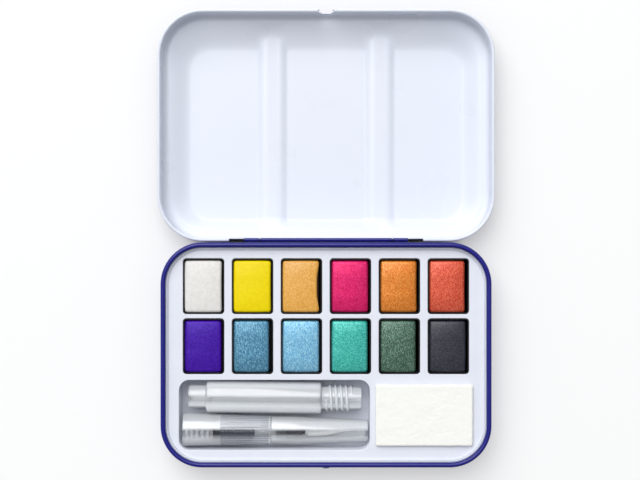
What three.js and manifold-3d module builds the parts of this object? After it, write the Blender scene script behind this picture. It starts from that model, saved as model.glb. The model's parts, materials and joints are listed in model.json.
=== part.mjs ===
// Watercolour paint box, open flat: a rolled-rim tin with a hinged lid of three mixing wells, and in it a
// plastic tray with twelve half pans, a sponge and a water brush in two pieces.
// Millimetres, +Z up, +Y towards the lid. The origin is the centre of the tin's underside.
import * as THREE from 'three';
import { mergeVertices } from 'three/addons/utils/BufferGeometryUtils.js';
import Module from 'manifold-3d';

const wasm = await Module();
wasm.setup();

// Driving dimensions, shared by several pieces
const SHEET = 0.3; // tinplate with its enamel
const TIN_CORNER = 15.2; // plan radius of the tin's outside corners
const RIM_STAND = 2.7; // the tin's rim above the tray's face
const RIM_BEAD = 1.8; // the tin's rim, rolled inwards, across
const LID_GAP = 0.35; // all round, between the closed lid and the tin
const LID_OVERLAP = 3.5; // the tin's rim above the hinge's axis
const WIRE_RADIUS = 0.27; // the hinge's wire
const WIRE_GAP = 0.08; // round the wire, in whatever is rolled about it
const TRAY_TOP = 11.8; // the tray's face above the table
const TRAY_WALL = 0.8;
const TRAY_GAP = 0.3; // between the tray and the tin's rolled rim
const FLOOR_GAP = 0.1; // under each piece that stands on another
const COLUMNS = 6;
const ROWS = 2;
const PAN_WIDTH = 14.8;
const PAN_LENGTH = 20.1;
const PAN_GAP = 0.15; // between a pan and its pocket
const COLUMN_WEB = 2.85; // tray between two columns of pockets
const ROW_WEB = 1.6;
const SPONGE_LENGTH = 35.8;
const SPONGE_WIDTH = 22.7;
const BRUSH_LENGTH = 68.3; // the capped brush head, end to end
const BRUSH_RADIUS = 6.1; // at its socket end
const TANK_RADIUS = 5.85;
const SOCKET_PLAY = 1.1; // between the brush's socket end and the well's left wall
const TIP_PLAY = 0.5; // between the cap's tip and the well's right wall
const BACK_MARGIN = 3.75; // tray behind the pans
const FRONT_MARGIN = 4; // tray in front of the well
const SIDE_MARGIN = 4.5; // tray beside the widest row of pockets
const WELL_BAR = 2.2; // tray between the pans and the well
const SPONGE_BAR = 2; // tray between the well and the sponge
const TANK_PLAY = 0.5; // between the tank and the well's back wall
const BETWEEN_PLAY = 0.3; // between the tank and the brush head
const BRUSH_PLAY = 0.9; // between the brush head and the well's front wall
const BRUSH_SEAT = 0.15; // under the tank and the brush head, which lie slightly askew
const OVERRUN = 1; // how far a cut runs past the face it opens

// What follows from them
const TIN_HEIGHT = TRAY_TOP + RIM_STAND;
const LID_CURL = 2 * (WIRE_RADIUS + WIRE_GAP + SHEET); // the lid's edge, rolled outwards, across
const POCKET_WIDTH = PAN_WIDTH + 2 * PAN_GAP;
const POCKET_LENGTH = PAN_LENGTH + 2 * PAN_GAP;
const WELL_LENGTH = SOCKET_PLAY + BRUSH_LENGTH + TIP_PLAY;
const WELL_WIDTH = TANK_PLAY + 2 * TANK_RADIUS + BETWEEN_PLAY + 2 * BRUSH_RADIUS + BRUSH_PLAY;
const PAN_ZONE = COLUMNS * POCKET_WIDTH + (COLUMNS - 1) * COLUMN_WEB;
const LOWER_ZONE = WELL_LENGTH + SPONGE_BAR + SPONGE_LENGTH;
const TRAY_LENGTH = Math.max(PAN_ZONE, LOWER_ZONE) + 2 * SIDE_MARGIN;
const PANS_DEPTH = ROWS * POCKET_LENGTH + (ROWS - 1) * ROW_WEB;
const TRAY_DEPTH = BACK_MARGIN + PANS_DEPTH + WELL_BAR + WELL_WIDTH + FRONT_MARGIN;
const TRAY_INSET = RIM_BEAD + TRAY_GAP; // from the tin's outside to the tray's edge
const TIN_LENGTH = TRAY_LENGTH + 2 * TRAY_INSET;
const TIN_DEPTH = TRAY_DEPTH + 2 * TRAY_INSET;
const TRAY_FOOT = SHEET + FLOOR_GAP;
const HINGE_Z = TIN_HEIGHT - LID_OVERLAP; // half the closed box's height, so the open lid lies flat
const HINGE_Y = TIN_DEPTH / 2 + LID_GAP + LID_CURL / 2;
const WELL_BACK = TRAY_DEPTH / 2 - BACK_MARGIN - PANS_DEPTH - WELL_BAR;
const WELL_LEFT = -LOWER_ZONE / 2;
const WELL_MIDDLE = WELL_BACK - WELL_WIDTH / 2;
const WELL_FLOOR = TRAY_FOOT + TRAY_WALL;

// Shape tools

// A closed mesh as a solid, and back again.
function solid(geometry) {
  const bare = new THREE.BufferGeometry();
  bare.setAttribute('position', geometry.getAttribute('position'));
  bare.setIndex(geometry.getIndex());
  const merged = mergeVertices(bare);
  const triVerts = new Uint32Array(merged.index.array);
  return new wasm.Manifold(
    new wasm.Mesh({ numProp: 3, vertProperties: merged.attributes.position.array, triVerts }),
  );
}

function geometryOf(shape) {
  const mesh = shape.getMesh();
  const geometry = new THREE.BufferGeometry();
  geometry.setAttribute('position', new THREE.BufferAttribute(mesh.vertProperties, 3));
  geometry.setIndex(new THREE.BufferAttribute(mesh.triVerts, 1));
  geometry.computeVertexNormals();
  return geometry;
}

const join = (...shapes) => shapes.reduce((all, next) => all.add(next));
const cut = (shape, ...tools) => tools.reduce((rest, tool) => rest.subtract(tool), shape);

// A rectangle with round corners: its sides, and a radius for each corner, from front right anticlockwise.
function plan(length, depth, radii, x = 0, y = 0) {
  return {
    left: x - length / 2,
    right: x + length / 2,
    front: y - depth / 2,
    back: y + depth / 2,
    radii: Array.isArray(radii) ? radii : [radii, radii, radii, radii],
  };
}

// The same rectangle grown by an offset all round, at a height.
function ring(base, grow, z, growY = grow) {
  return {
    left: base.left - grow,
    right: base.right + grow,
    front: base.front - growY,
    back: base.back + growY,
    radii: base.radii.map((radius) => Math.max(radius + Math.max(grow, growY), SHEET / 2)),
    z,
  };
}

function ringPoints(r, steps) {
  const corners = [
    [r.right, r.front, -1, 1, -Math.PI / 2],
    [r.right, r.back, -1, -1, 0],
    [r.left, r.back, 1, -1, Math.PI / 2],
    [r.left, r.front, 1, 1, Math.PI],
  ];
  const points = [];
  corners.forEach(([x, y, inX, inY, start], corner) => {
    const radius = r.radii[corner];
    for (let i = 0; i <= steps; i++) {
      const angle = start + (i / steps) * (Math.PI / 2);
      points.push([
        x + inX * radius + radius * Math.cos(angle),
        y + inY * radius + radius * Math.sin(angle),
        r.z,
      ]);
    }
  });
  return points;
}

// A skin over rings of points, each joined to the next, with a flat cap on the first and the last.
function skin(loops) {
  const count = loops[0].length;
  const positions = loops.flat(2);
  const index = [];
  for (let k = 0; k + 1 < loops.length; k++) {
    for (let i = 0; i < count; i++) {
      const a = k * count + i;
      const b = k * count + ((i + 1) % count);
      index.push(a, b, b + count, a, b + count, a + count);
    }
  }
  const last = (loops.length - 1) * count;
  for (let i = 1; i + 1 < count; i++) {
    index.push(0, i + 1, i);
    index.push(last, last + i, last + i + 1);
  }
  const geometry = new THREE.BufferGeometry();
  geometry.setAttribute('position', new THREE.BufferAttribute(new Float32Array(positions), 3));
  geometry.setIndex(index);
  return geometry;
}

const loft = (rings, steps) => solid(skin(rings.map((r) => ringPoints(r, steps))));

// Points on an arc in a rim's section: offset from the wall, height, and the angle from start to end.
function arc(offset, z, radius, start, end, steps) {
  const points = [];
  for (let i = 0; i <= steps; i++) {
    const angle = THREE.MathUtils.degToRad(start + ((end - start) * i) / steps);
    points.push([offset + radius * Math.cos(angle), z + radius * Math.sin(angle)]);
  }
  return points;
}

// A solid of revolution about +X, from [distance along X, radius] points.
function turned(profile, sides) {
  const lathe = new THREE.LatheGeometry(
    profile.map(([along, radius]) => new THREE.Vector2(radius, along)),
    sides,
  );
  lathe.rotateZ(-Math.PI / 2);
  return solid(lathe);
}

function block(length, depth, height, x, y, z) {
  return solid(new THREE.BoxGeometry(length, depth, height).translate(x, y, z));
}

const root = new THREE.Group();

function addTo(group, name, shape, color, roughness, metalness = 0, opacity = 1) {
  const geometry = shape.isBufferGeometry ? shape : geometryOf(shape);
  const material = new THREE.MeshStandardMaterial({
    color,
    roughness,
    metalness,
    opacity,
    transparent: opacity < 1,
  });
  const mesh = new THREE.Mesh(geometry, material);
  mesh.name = name;
  group.add(mesh);
  return mesh;
}

// Hinge: a wire through three tubes rolled from the tin's back wall, its ends inside the lid's own curl
const KNUCKLE_RADIUS = LID_CURL / 2;
const MIDDLE_KNUCKLE = 48.2; // length of the long tube between the two short ones
const KNUCKLE_SLIT = 0.5;
const END_KNUCKLE = 5.4;
const KNUCKLE_VOID = 5.6; // bare wire between a short tube and the lid's curl
const WIRE_IN_CURL = 5; // how far the wire runs into the lid's curl
const KNUCKLE_CLEAR = 0.45; // between the tubes and the lid's cut edge
const KNUCKLE_SIDES = 12;
const KNUCKLE_REACH = MIDDLE_KNUCKLE / 2 + KNUCKLE_SLIT + END_KNUCKLE;
const CURL_START = KNUCKLE_REACH + KNUCKLE_VOID;
const LID_CUT = KNUCKLE_RADIUS + KNUCKLE_CLEAR; // below the hinge's axis, on the open lid

function knuckle(length, x) {
  const outline = new THREE.Shape().absarc(0, 0, KNUCKLE_RADIUS, 0, 2 * Math.PI);
  outline.holes.push(new THREE.Path().absarc(0, 0, WIRE_RADIUS + WIRE_GAP, 0, 2 * Math.PI, true));
  const tube = new THREE.ExtrudeGeometry(outline, {
    depth: length,
    bevelEnabled: false,
    curveSegments: KNUCKLE_SIDES,
  });
  tube.rotateY(Math.PI / 2).translate(x - length / 2, HINGE_Y, HINGE_Z);
  const inWall = TIN_DEPTH / 2 - SHEET / 2;
  const webZ = HINGE_Z - KNUCKLE_RADIUS + SHEET / 2;
  const web = block(length, HINGE_Y - inWall, SHEET, x, (HINGE_Y + inWall) / 2, webZ);
  return join(solid(tube), web);
}

function hingeWire() {
  const length = 2 * (CURL_START + WIRE_IN_CURL);
  const wire = new THREE.CylinderGeometry(WIRE_RADIUS, WIRE_RADIUS, length, KNUCKLE_SIDES);
  return wire.rotateZ(Math.PI / 2).translate(0, HINGE_Y, HINGE_Z);
}

// Tin: one pressed sheet, its rim rolled inwards, and a dimple in its front wall that the lid's notch takes
const TIN_BEND = 1.5; // outside radius where the floor turns up
const DIMPLE_WIDTH = 3.7;
const DIMPLE_HEIGHT = 2.2;
const DIMPLE_PROUD = 0.7;
const DIMPLE_RISE = 0.2; // its middle above the hinge's height
const DIMPLE_SIDES = 12;
const TIN_STEPS = 6; // facets in each corner
const BEND_STEPS = 3;
const ROLL_STEPS = 8;
const ROLL_END = 262; // degrees that each rolled edge goes round

function tin() {
  const outline = plan(TIN_LENGTH, TIN_DEPTH, TIN_CORNER);
  const roll = RIM_BEAD / 2;
  const rollZ = TIN_HEIGHT - roll;
  const section = [
    ...arc(-TIN_BEND, TIN_BEND, TIN_BEND, -90, 0, BEND_STEPS),
    ...arc(-roll, rollZ, roll, 0, ROLL_END, ROLL_STEPS),
    ...arc(-roll, rollZ, roll - SHEET, ROLL_END, 0, ROLL_STEPS),
    ...arc(-TIN_BEND, TIN_BEND, TIN_BEND - SHEET, 0, -90, BEND_STEPS),
  ];
  const shell = loft(section.map(([offset, z]) => ring(outline, offset, z)), TIN_STEPS);
  const ends = (MIDDLE_KNUCKLE + END_KNUCKLE) / 2 + KNUCKLE_SLIT;
  const tubes = join(knuckle(MIDDLE_KNUCKLE, 0), knuckle(END_KNUCKLE, -ends), knuckle(END_KNUCKLE, ends));
  const [bump, hollow] = [0, SHEET].map((inside) =>
    solid(
      new THREE.SphereGeometry(1, DIMPLE_SIDES, DIMPLE_SIDES / 2)
        .rotateX(Math.PI / 2)
        .scale(
          DIMPLE_WIDTH / 2 - inside,
          DIMPLE_PROUD + SHEET - inside,
          DIMPLE_HEIGHT / 2 - inside,
        )
        .translate(0, SHEET - TIN_DEPTH / 2, HINGE_Z + DIMPLE_RISE),
    ),
  );
  const outside = block(
    2 * DIMPLE_WIDTH,
    2 * DIMPLE_PROUD + 2 * SHEET,
    2 * DIMPLE_HEIGHT,
    0,
    -TIN_DEPTH / 2 - DIMPLE_PROUD,
    HINGE_Z + DIMPLE_RISE,
  );
  return cut(join(shell, tubes, bump.intersect(outside)), hollow);
}

// Lid: one pressed sheet, its edge rolled outwards, with three mixing wells pressed out of its panel
const LID_PRESS = 3; // depth of the wells below the panel
const LID_BEND = 1.9; // inside radius where the panel turns up into the wall
const RIDGE_SPACING = 40.2; // between the two ridges' middles
const RIDGE_WIDTH = 2.6; // across a ridge's flat
const LID_LEDGE = 2.6; // flat panel all round the wells
const LID_WELL_CORNER = 4.5; // beside a ridge
const END_SLOPE = 5.5; // the wells' slopes at the front and back
const SIDE_SLOPE = 2.2; // and at the sides
const WELL_STEPS = 4;
const SLOPE_STEPS = 3;
const NOTCH_MOUTH_CLEAR = 1; // beside the tin's dimple, where the notch opens in the lid's edge
const NOTCH_MOUTH = DIMPLE_WIDTH + 2 * NOTCH_MOUTH_CLEAR;
const NOTCH_FOOT = 3.1; // width where it ends, at the height of the closed tin's rim

// A well as rings from its rim down: a smooth slope, moved out by the sheet for the outside face.
function wellRings(outline, outside) {
  const rings = [];
  for (let k = 0; k <= SLOPE_STEPS; k++) {
    const share = k / SLOPE_STEPS;
    const fall = share * share * (3 - 2 * share);
    const z = SHEET + LID_PRESS * (1 - fall) - outside;
    rings.push(ring(outline, outside - share * SIDE_SLOPE, z, outside - share * END_SLOPE));
  }
  return rings.reverse();
}

function lid() {
  const length = TIN_LENGTH + 2 * LID_GAP;
  const depth = TIN_DEPTH + 2 * LID_GAP;
  const inside = plan(length, depth, TIN_CORNER + LID_GAP);
  const curl = LID_CURL / 2;
  const bend = LID_BEND + SHEET;
  const section = [
    ...arc(-LID_BEND, LID_PRESS + bend, bend, -90, 0, BEND_STEPS),
    ...arc(curl, HINGE_Z, curl - SHEET, 180, 180 - ROLL_END, ROLL_STEPS),
    ...arc(curl, HINGE_Z, curl, 180 - ROLL_END, 180, ROLL_STEPS),
    ...arc(-LID_BEND, LID_PRESS + bend, LID_BEND, 0, -90, BEND_STEPS),
  ];
  const shell = loft(section.map(([offset, z]) => ring(inside, offset, z)), TIN_STEPS);
  const wellDepth = depth - 2 * LID_LEDGE;
  const middle = plan(RIDGE_SPACING - RIDGE_WIDTH, wellDepth, LID_WELL_CORNER);
  const near = (RIDGE_SPACING + RIDGE_WIDTH) / 2;
  const far = length / 2 - LID_LEDGE;
  const [r, R] = [LID_WELL_CORNER, TIN_CORNER + LID_GAP - LID_LEDGE];
  const right = plan(far - near, wellDepth, [R, R, r, r], (far + near) / 2);
  const left = plan(far - near, wellDepth, [r, r, R, R], -(far + near) / 2);
  const wells = [left, middle, right];
  const bosses = wells.map((well) => {
    const rings = wellRings(well, SHEET);
    return loft([...rings, ring(well, SHEET, LID_PRESS + SHEET / 2)], WELL_STEPS);
  });
  const hollows = wells.map((well) => {
    const rings = wellRings(well, 0);
    return loft([...rings, ring(well, 0, LID_PRESS + SHEET + OVERRUN)], WELL_STEPS);
  });
  const through = LID_CURL + 2 * OVERRUN;
  const above = LID_CURL / 2 + OVERRUN;
  const gap = block(2 * CURL_START, through, LID_CUT + above, 0, -HINGE_Y, HINGE_Z + (above - LID_CUT) / 2);
  const notch = loft(
    [
      ring(plan(NOTCH_FOOT, through, 0, 0, HINGE_Y), 0, HINGE_Z - LID_OVERLAP),
      ring(plan(NOTCH_MOUTH, through, 0, 0, HINGE_Y), 0, HINGE_Z + LID_CURL / 2),
      ring(plan(NOTCH_MOUTH, through, 0, 0, HINGE_Y), 0, HINGE_Z + above),
    ],
    WELL_STEPS,
  );
  return cut(join(shell, ...bosses), ...hollows, gap, notch);
}

// Tray: one moulded sheet with pockets for the pans, a well for the brush and a recess for the sponge
const PAN_HEIGHT = 8.8;
const PAN_BELOW = 0.2; // the pan's lip below the tray's face
const PAN_CORNER = 1.1;
const WELL_CORNER = 3.8;
const SPONGE_SEAT = 3.5; // height of the recess's floor
const SPONGE_LAP = 0.6; // how far the sponge laps over the recess's edge
const SPONGE_GAP = 0.3;
const SPONGE_CORNER = 0.8;
const POCKET_STEPS = 2;

const columnX = (column) => (column - (COLUMNS - 1) / 2) * (POCKET_WIDTH + COLUMN_WEB);
const rowY = (row) =>
  TRAY_DEPTH / 2 - BACK_MARGIN - POCKET_LENGTH / 2 - row * (POCKET_LENGTH + ROW_WEB);
const PAN_FOOT = TRAY_TOP - PAN_BELOW - PAN_HEIGHT;
const SPONGE_X = WELL_LEFT + WELL_LENGTH + SPONGE_BAR + SPONGE_LENGTH / 2;
const SPONGE_HOLE_LENGTH = SPONGE_LENGTH - 2 * SPONGE_LAP;
const SPONGE_HOLE_WIDTH = SPONGE_WIDTH - 2 * SPONGE_LAP;

function tray() {
  const outline = plan(TRAY_LENGTH, TRAY_DEPTH, TIN_CORNER - TRAY_INSET);
  const pockets = [
    {
      outline: plan(WELL_LENGTH, WELL_WIDTH, WELL_CORNER, WELL_LEFT + WELL_LENGTH / 2, WELL_MIDDLE),
      floor: WELL_FLOOR,
      steps: WELL_STEPS,
    },
    {
      outline: plan(SPONGE_HOLE_LENGTH, SPONGE_HOLE_WIDTH, SPONGE_CORNER, SPONGE_X, WELL_MIDDLE),
      floor: SPONGE_SEAT,
      steps: POCKET_STEPS,
    },
  ];
  for (let row = 0; row < ROWS; row++) {
    for (let column = 0; column < COLUMNS; column++) {
      pockets.push({
        outline: plan(POCKET_WIDTH, POCKET_LENGTH, PAN_CORNER + PAN_GAP, columnX(column), rowY(row)),
        floor: PAN_FOOT - FLOOR_GAP,
        steps: POCKET_STEPS,
      });
    }
  }
  const body = loft([ring(outline, 0, TRAY_FOOT), ring(outline, 0, TRAY_TOP)], TIN_STEPS);
  const under = loft(
    [ring(outline, -TRAY_WALL, TRAY_FOOT - OVERRUN), ring(outline, -TRAY_WALL, TRAY_TOP - TRAY_WALL)],
    TIN_STEPS,
  );
  // A pocket as a block: its outline grown, from under its floor to a height
  const filled = (pocket, grow, below, top) =>
    loft(
      [ring(pocket.outline, grow, pocket.floor - below), ring(pocket.outline, grow, top)],
      pocket.steps,
    );
  const boxes = pockets.map((pocket) => filled(pocket, TRAY_WALL, TRAY_WALL, TRAY_TOP - TRAY_WALL / 2));
  const hollows = pockets.map((pocket) => filled(pocket, 0, 0, TRAY_TOP + OVERRUN));
  return cut(join(cut(body, under), ...boxes), ...hollows);
}

// Half pans and the cakes of paint in them
const PAN_WALL = 0.5;
const PAN_FLOOR = 0.8;
const PAN_DRAFT = 0.3; // how much narrower the pan is at its foot, each side
const CAKE_GAP = 0.12;
const CAKE_PROUD = 0.35; // the cake's top above the tray's face
const CAKE_CORNER = 0.45;
const CAKE_EDGE = 0.5; // the round along the cake's top edges
const CAKE_COLOURS = [
  ['white', 0xebe8e2],
  ['yellow', 0xf2dc00],
  ['ochre', 0xe9b059],
  ['magenta', 0xde2b71],
  ['orange', 0xdf8b3a],
  ['coral', 0xd55f46],
  ['violet', 0x44139d],
  ['teal', 0x5a96b5],
  ['sky', 0x7fbbda],
  ['turquoise', 0x45b8ac],
  ['green', 0x4c6c5e],
  ['graphite', 0x363842],
];

function pan(x, y) {
  const outline = plan(PAN_WIDTH, PAN_LENGTH, PAN_CORNER, x, y);
  const top = PAN_FOOT + PAN_HEIGHT;
  return loft(
    [
      ring(outline, -PAN_DRAFT, PAN_FOOT),
      ring(outline, 0, top),
      ring(outline, -PAN_WALL, top),
      ring(outline, -PAN_WALL - PAN_DRAFT, PAN_FOOT + PAN_FLOOR),
    ],
    POCKET_STEPS,
  );
}

function cake(x, y) {
  const inset = 2 * (PAN_WALL + CAKE_GAP);
  const outline = plan(PAN_WIDTH - inset, PAN_LENGTH - inset, CAKE_CORNER, x, y);
  const edge = arc(-CAKE_EDGE, TRAY_TOP + CAKE_PROUD - CAKE_EDGE, CAKE_EDGE, 0, 90, POCKET_STEPS);
  return loft(
    [
      ring(outline, -PAN_DRAFT, PAN_FOOT + PAN_FLOOR + FLOOR_GAP),
      ...edge.map(([offset, z]) => ring(outline, offset, z)),
    ],
    POCKET_STEPS,
  );
}

// Sponge: a foam block pressed into its recess, its crowned top lapping over the edge
const SPONGE_PROUD = 1.6; // its crown above the tray's face
const SPONGE_LIFT = 0.1; // under the lap
const SPONGE_BULGE_SHARE = 0.55; // of the proud part, where the lap is widest
const SPONGE_CROWN = 1.4; // how far in from its side the top reaches its height

function sponge() {
  const outline = plan(SPONGE_LENGTH, SPONGE_WIDTH, SPONGE_CORNER, SPONGE_X, WELL_MIDDLE);
  const inPocket = -SPONGE_LAP - SPONGE_GAP;
  const under = TRAY_TOP + SPONGE_LIFT;
  return loft(
    [
      ring(outline, inPocket, SPONGE_SEAT + FLOOR_GAP),
      ring(outline, inPocket, under),
      ring(outline, -SPONGE_GAP, under),
      ring(outline, 0, TRAY_TOP + SPONGE_PROUD * SPONGE_BULGE_SHARE),
      ring(outline, -SPONGE_CROWN / 2, TRAY_TOP + SPONGE_PROUD * (1 + SPONGE_BULGE_SHARE) / 2),
      ring(outline, -SPONGE_CROWN, TRAY_TOP + SPONGE_PROUD),
    ],
    POCKET_STEPS,
  );
}

// Thread: a one-start ridge about +X, from a root radius to a crest, its ends run out to nothing
const THREAD_PITCH = 1.95;
const THREAD_TURNS = 5;
const THREAD_STEPS = 12; // facets in each turn
const THREAD_CREST_SHARE = 0.16; // of the pitch, half the crest's flat
const THREAD_ROOT_SHARE = 0.36; // of the pitch, half the root's width
const THREAD_SINK = 0.35; // how far the ridge runs into the neck

function thread(root, crest, start) {
  const loops = [];
  const count = THREAD_TURNS * THREAD_STEPS;
  for (let i = 0; i <= count; i++) {
    const angle = (i / THREAD_STEPS) * 2 * Math.PI;
    const along = start + (i / THREAD_STEPS) * THREAD_PITCH;
    const fade = Math.min(1, (i + 1) / THREAD_STEPS, (count - i + 1) / THREAD_STEPS);
    const top = root + (crest - root) * fade;
    const section = [
      [-THREAD_ROOT_SHARE, root - THREAD_SINK],
      [THREAD_ROOT_SHARE, root - THREAD_SINK],
      [THREAD_CREST_SHARE, top],
      [-THREAD_CREST_SHARE, top],
    ];
    loops.push(
      section.map(([share, radius]) => [
        along + share * THREAD_PITCH,
        radius * Math.cos(angle),
        radius * Math.sin(angle),
      ]),
    );
  }
  return solid(skin(loops));
}

// Water tank of the brush: a soft blown tube with a tail, a threaded neck and an open mouth
const TANK_TAIL_RADIUS = 4.2;
const TANK_TAIL = 6.8;
const TANK_NECK = 14.8;
const TANK_WALL = 0.7;
const NECK_RADIUS = 4.2;
const THREAD_CREST = 5.05;
const NECK_WALL = 0.9;
const TANK_ROUND = 1; // of the tail's end and the shoulders
const THREAD_FROM_SHOULDER = 1.6;
const TANK_SIDES = 20;
const TANK_TURN = -0.7; // degrees that the tank lies askew, seen from above
const TANK_PLAY_ENDS = 2.95; // between the tank's ends and the well's end walls
const TANK_BODY = WELL_LENGTH - 2 * TANK_PLAY_ENDS - TANK_TAIL - TANK_NECK;

function tank() {
  const shoulder = TANK_TAIL + TANK_ROUND;
  const step = TANK_TAIL + TANK_BODY;
  const mouth = step + TANK_NECK;
  const tail = TANK_TAIL_RADIUS;
  const profile = [
    [0, 0],
    [0, tail - TANK_ROUND],
    [TANK_ROUND / 2, tail],
    [TANK_TAIL, tail],
    [TANK_TAIL, TANK_RADIUS - TANK_ROUND],
    [TANK_TAIL + TANK_ROUND / 3, TANK_RADIUS - TANK_ROUND / 3],
    [shoulder, TANK_RADIUS],
    [step - TANK_ROUND / 3, TANK_RADIUS],
    [step, TANK_RADIUS - TANK_ROUND / 3],
    [step, NECK_RADIUS],
    [mouth, NECK_RADIUS],
    [mouth, NECK_RADIUS - NECK_WALL],
    [step, NECK_RADIUS - NECK_WALL],
    [step - TANK_ROUND, TANK_RADIUS - TANK_WALL],
    [shoulder + TANK_WALL, TANK_RADIUS - TANK_WALL],
    [TANK_TAIL + TANK_WALL, tail - TANK_WALL],
    [TANK_ROUND + TANK_WALL, tail - TANK_WALL],
    [TANK_WALL, tail - TANK_WALL - TANK_ROUND],
    [TANK_WALL, 0],
  ];
  return join(
    turned(profile, TANK_SIDES),
    thread(NECK_RADIUS, THREAD_CREST, step + THREAD_FROM_SHOULDER),
  );
}

// Brush head, along its own axis from the socket's mouth: a clear body with a socket for the tank's neck,
// a seal, the regulator that holds back the water, a ferrule with the feed's tip, the bristles and a cap
const SOCKET_DEPTH = 11.9;
const SOCKET_GAP = 0.25; // between the neck's thread and the socket's
const SOCKET_THREAD_START = 1.4;
const MOUTH_CHAMFER = 0.6;
const WAIST_RADIUS = 5.75; // where the socket ends, outside
const SHOULDER_RADIUS = 5.2; // where the cap meets the body
const BODY_LENGTH = 32.4;
const SPIGOT_RADIUS = 4.4; // the cap pushes onto it
const SPIGOT_LENGTH = 6.2;
const FIT_GAP = 0.15; // round each piece inside the body
const SEAL_WIDTH = 1.1;
const SEAL_THICK = 0.8;
const REGULATOR_RADIUS = 4.05;
const REGULATOR_BACK = 7.4; // length of the half by the seal
const REGULATOR_FRONT = 7; // and of the half with the nose
const REGULATOR_NOSE = 2.6;
const CHANNEL_RADIUS = 1.6;
const FERRULE_RADIUS = 2.85;
const FERRULE_BORE = 2.2;
const FERRULE_IN = 4.2; // its length inside the spigot
const FERRULE_OUT = 7.5;
const FLANGE_RADIUS = 3.3;
const FLANGE = 0.5;
const FEED_RADIUS = 2;
const FEED_LENGTH = 6.9; // of its thick part
const SPIKE_RADIUS = 0.8; // where the feed passes through the bristles' backing
const SPIKE_END_SHARE = 0.6; // of that radius, at the ferrule's mouth
const SPIKE_REACH = 1.4; // beyond the ferrule
const TUFT_BACKING = 0.6;
const TUFT_INSIDE = 0.3; // the backing's face behind the ferrule's mouth
const TUFT_LENGTH = 18.2;
const CAP_RADIUS = 5.15;
const CAP_TIP_RADIUS = 4;
const CAP_SKIRT = 9.6; // its straight part
const CAP_CONE = 4; // inside, from the skirt's bore to the spigot's end and past it
const CAP_WALL = 0.75;
const CAP_ROUND = 0.6;
const BRUSH_SIDES = 20;
const SMALL_SIDES = 16;
const BRUSH_TURN = -0.55; // degrees askew, seen from above
const BODY_END = BODY_LENGTH + SPIGOT_LENGTH;
const FERRULE_END = BODY_END + FERRULE_OUT;

function headBody() {
  const socket = NECK_RADIUS + SOCKET_GAP;
  const bore = REGULATOR_RADIUS + FIT_GAP;
  const regulatorEnd = SOCKET_DEPTH + REGULATOR_BACK + REGULATOR_FRONT + FIT_GAP;
  const profile = [
    [0, socket],
    [0, BRUSH_RADIUS - MOUTH_CHAMFER],
    [MOUTH_CHAMFER, BRUSH_RADIUS],
    [SOCKET_DEPTH, WAIST_RADIUS],
    [BODY_LENGTH, SHOULDER_RADIUS],
    [BODY_LENGTH, SPIGOT_RADIUS],
    [BODY_END, SPIGOT_RADIUS - FIT_GAP],
    [BODY_END, FERRULE_RADIUS + FIT_GAP],
    [BODY_END - FERRULE_IN - FIT_GAP, FERRULE_RADIUS + FIT_GAP],
    [BODY_END - FERRULE_IN - FIT_GAP, CHANNEL_RADIUS],
    [regulatorEnd, CHANNEL_RADIUS],
    [regulatorEnd - REGULATOR_NOSE, bore],
    [SOCKET_DEPTH, bore],
    [SOCKET_DEPTH, socket],
    [0, socket],
  ];
  const grooves = thread(socket, THREAD_CREST + SOCKET_GAP, SOCKET_THREAD_START);
  return cut(turned(profile, BRUSH_SIDES), grooves);
}

// A straight tube along +X.
function sleeve(start, end, bore, radius, sides) {
  return turned(
    [
      [start, bore],
      [start, radius],
      [end, radius],
      [end, bore],
      [start, bore],
    ],
    sides,
  );
}

function seal() {
  const radius = NECK_RADIUS + SOCKET_GAP - FIT_GAP;
  return sleeve(SOCKET_DEPTH - SEAL_THICK, SOCKET_DEPTH, radius - SEAL_WIDTH, radius, BRUSH_SIDES);
}

function regulatorBack() {
  const start = SOCKET_DEPTH + FIT_GAP;
  const profile = [
    [start, 0],
    [start, REGULATOR_RADIUS],
    [SOCKET_DEPTH + REGULATOR_BACK, REGULATOR_RADIUS],
    [SOCKET_DEPTH + REGULATOR_BACK, 0],
  ];
  return turned(profile, SMALL_SIDES);
}

function regulatorFront() {
  const start = SOCKET_DEPTH + REGULATOR_BACK + FIT_GAP;
  const end = SOCKET_DEPTH + REGULATOR_BACK + REGULATOR_FRONT - FIT_GAP;
  const profile = [
    [start, 0],
    [start, REGULATOR_RADIUS],
    [end - REGULATOR_NOSE, REGULATOR_RADIUS],
    [end, CHANNEL_RADIUS],
    [end, 0],
  ];
  return turned(profile, SMALL_SIDES);
}

function ferrule() {
  const profile = [
    [BODY_END - FERRULE_IN, FERRULE_BORE],
    [BODY_END - FERRULE_IN, FERRULE_RADIUS],
    [BODY_END + FIT_GAP, FERRULE_RADIUS],
    [BODY_END + FIT_GAP, FLANGE_RADIUS],
    [BODY_END + FIT_GAP + FLANGE, FLANGE_RADIUS],
    [BODY_END + FIT_GAP + FLANGE, FERRULE_RADIUS],
    [FERRULE_END, FERRULE_RADIUS],
    [FERRULE_END, FERRULE_BORE],
    [BODY_END - FERRULE_IN, FERRULE_BORE],
  ];
  return turned(profile, BRUSH_SIDES);
}

function feedTip() {
  const backing = FERRULE_END - TUFT_INSIDE - TUFT_BACKING;
  const profile = [
    [backing - FEED_LENGTH, 0],
    [backing - FEED_LENGTH, FEED_RADIUS],
    [backing - SPIKE_RADIUS, FEED_RADIUS],
    [backing - FIT_GAP, SPIKE_RADIUS],
    [FERRULE_END, SPIKE_RADIUS * SPIKE_END_SHARE],
    [FERRULE_END + SPIKE_REACH, 0],
  ];
  return turned(profile, SMALL_SIDES);
}

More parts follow.
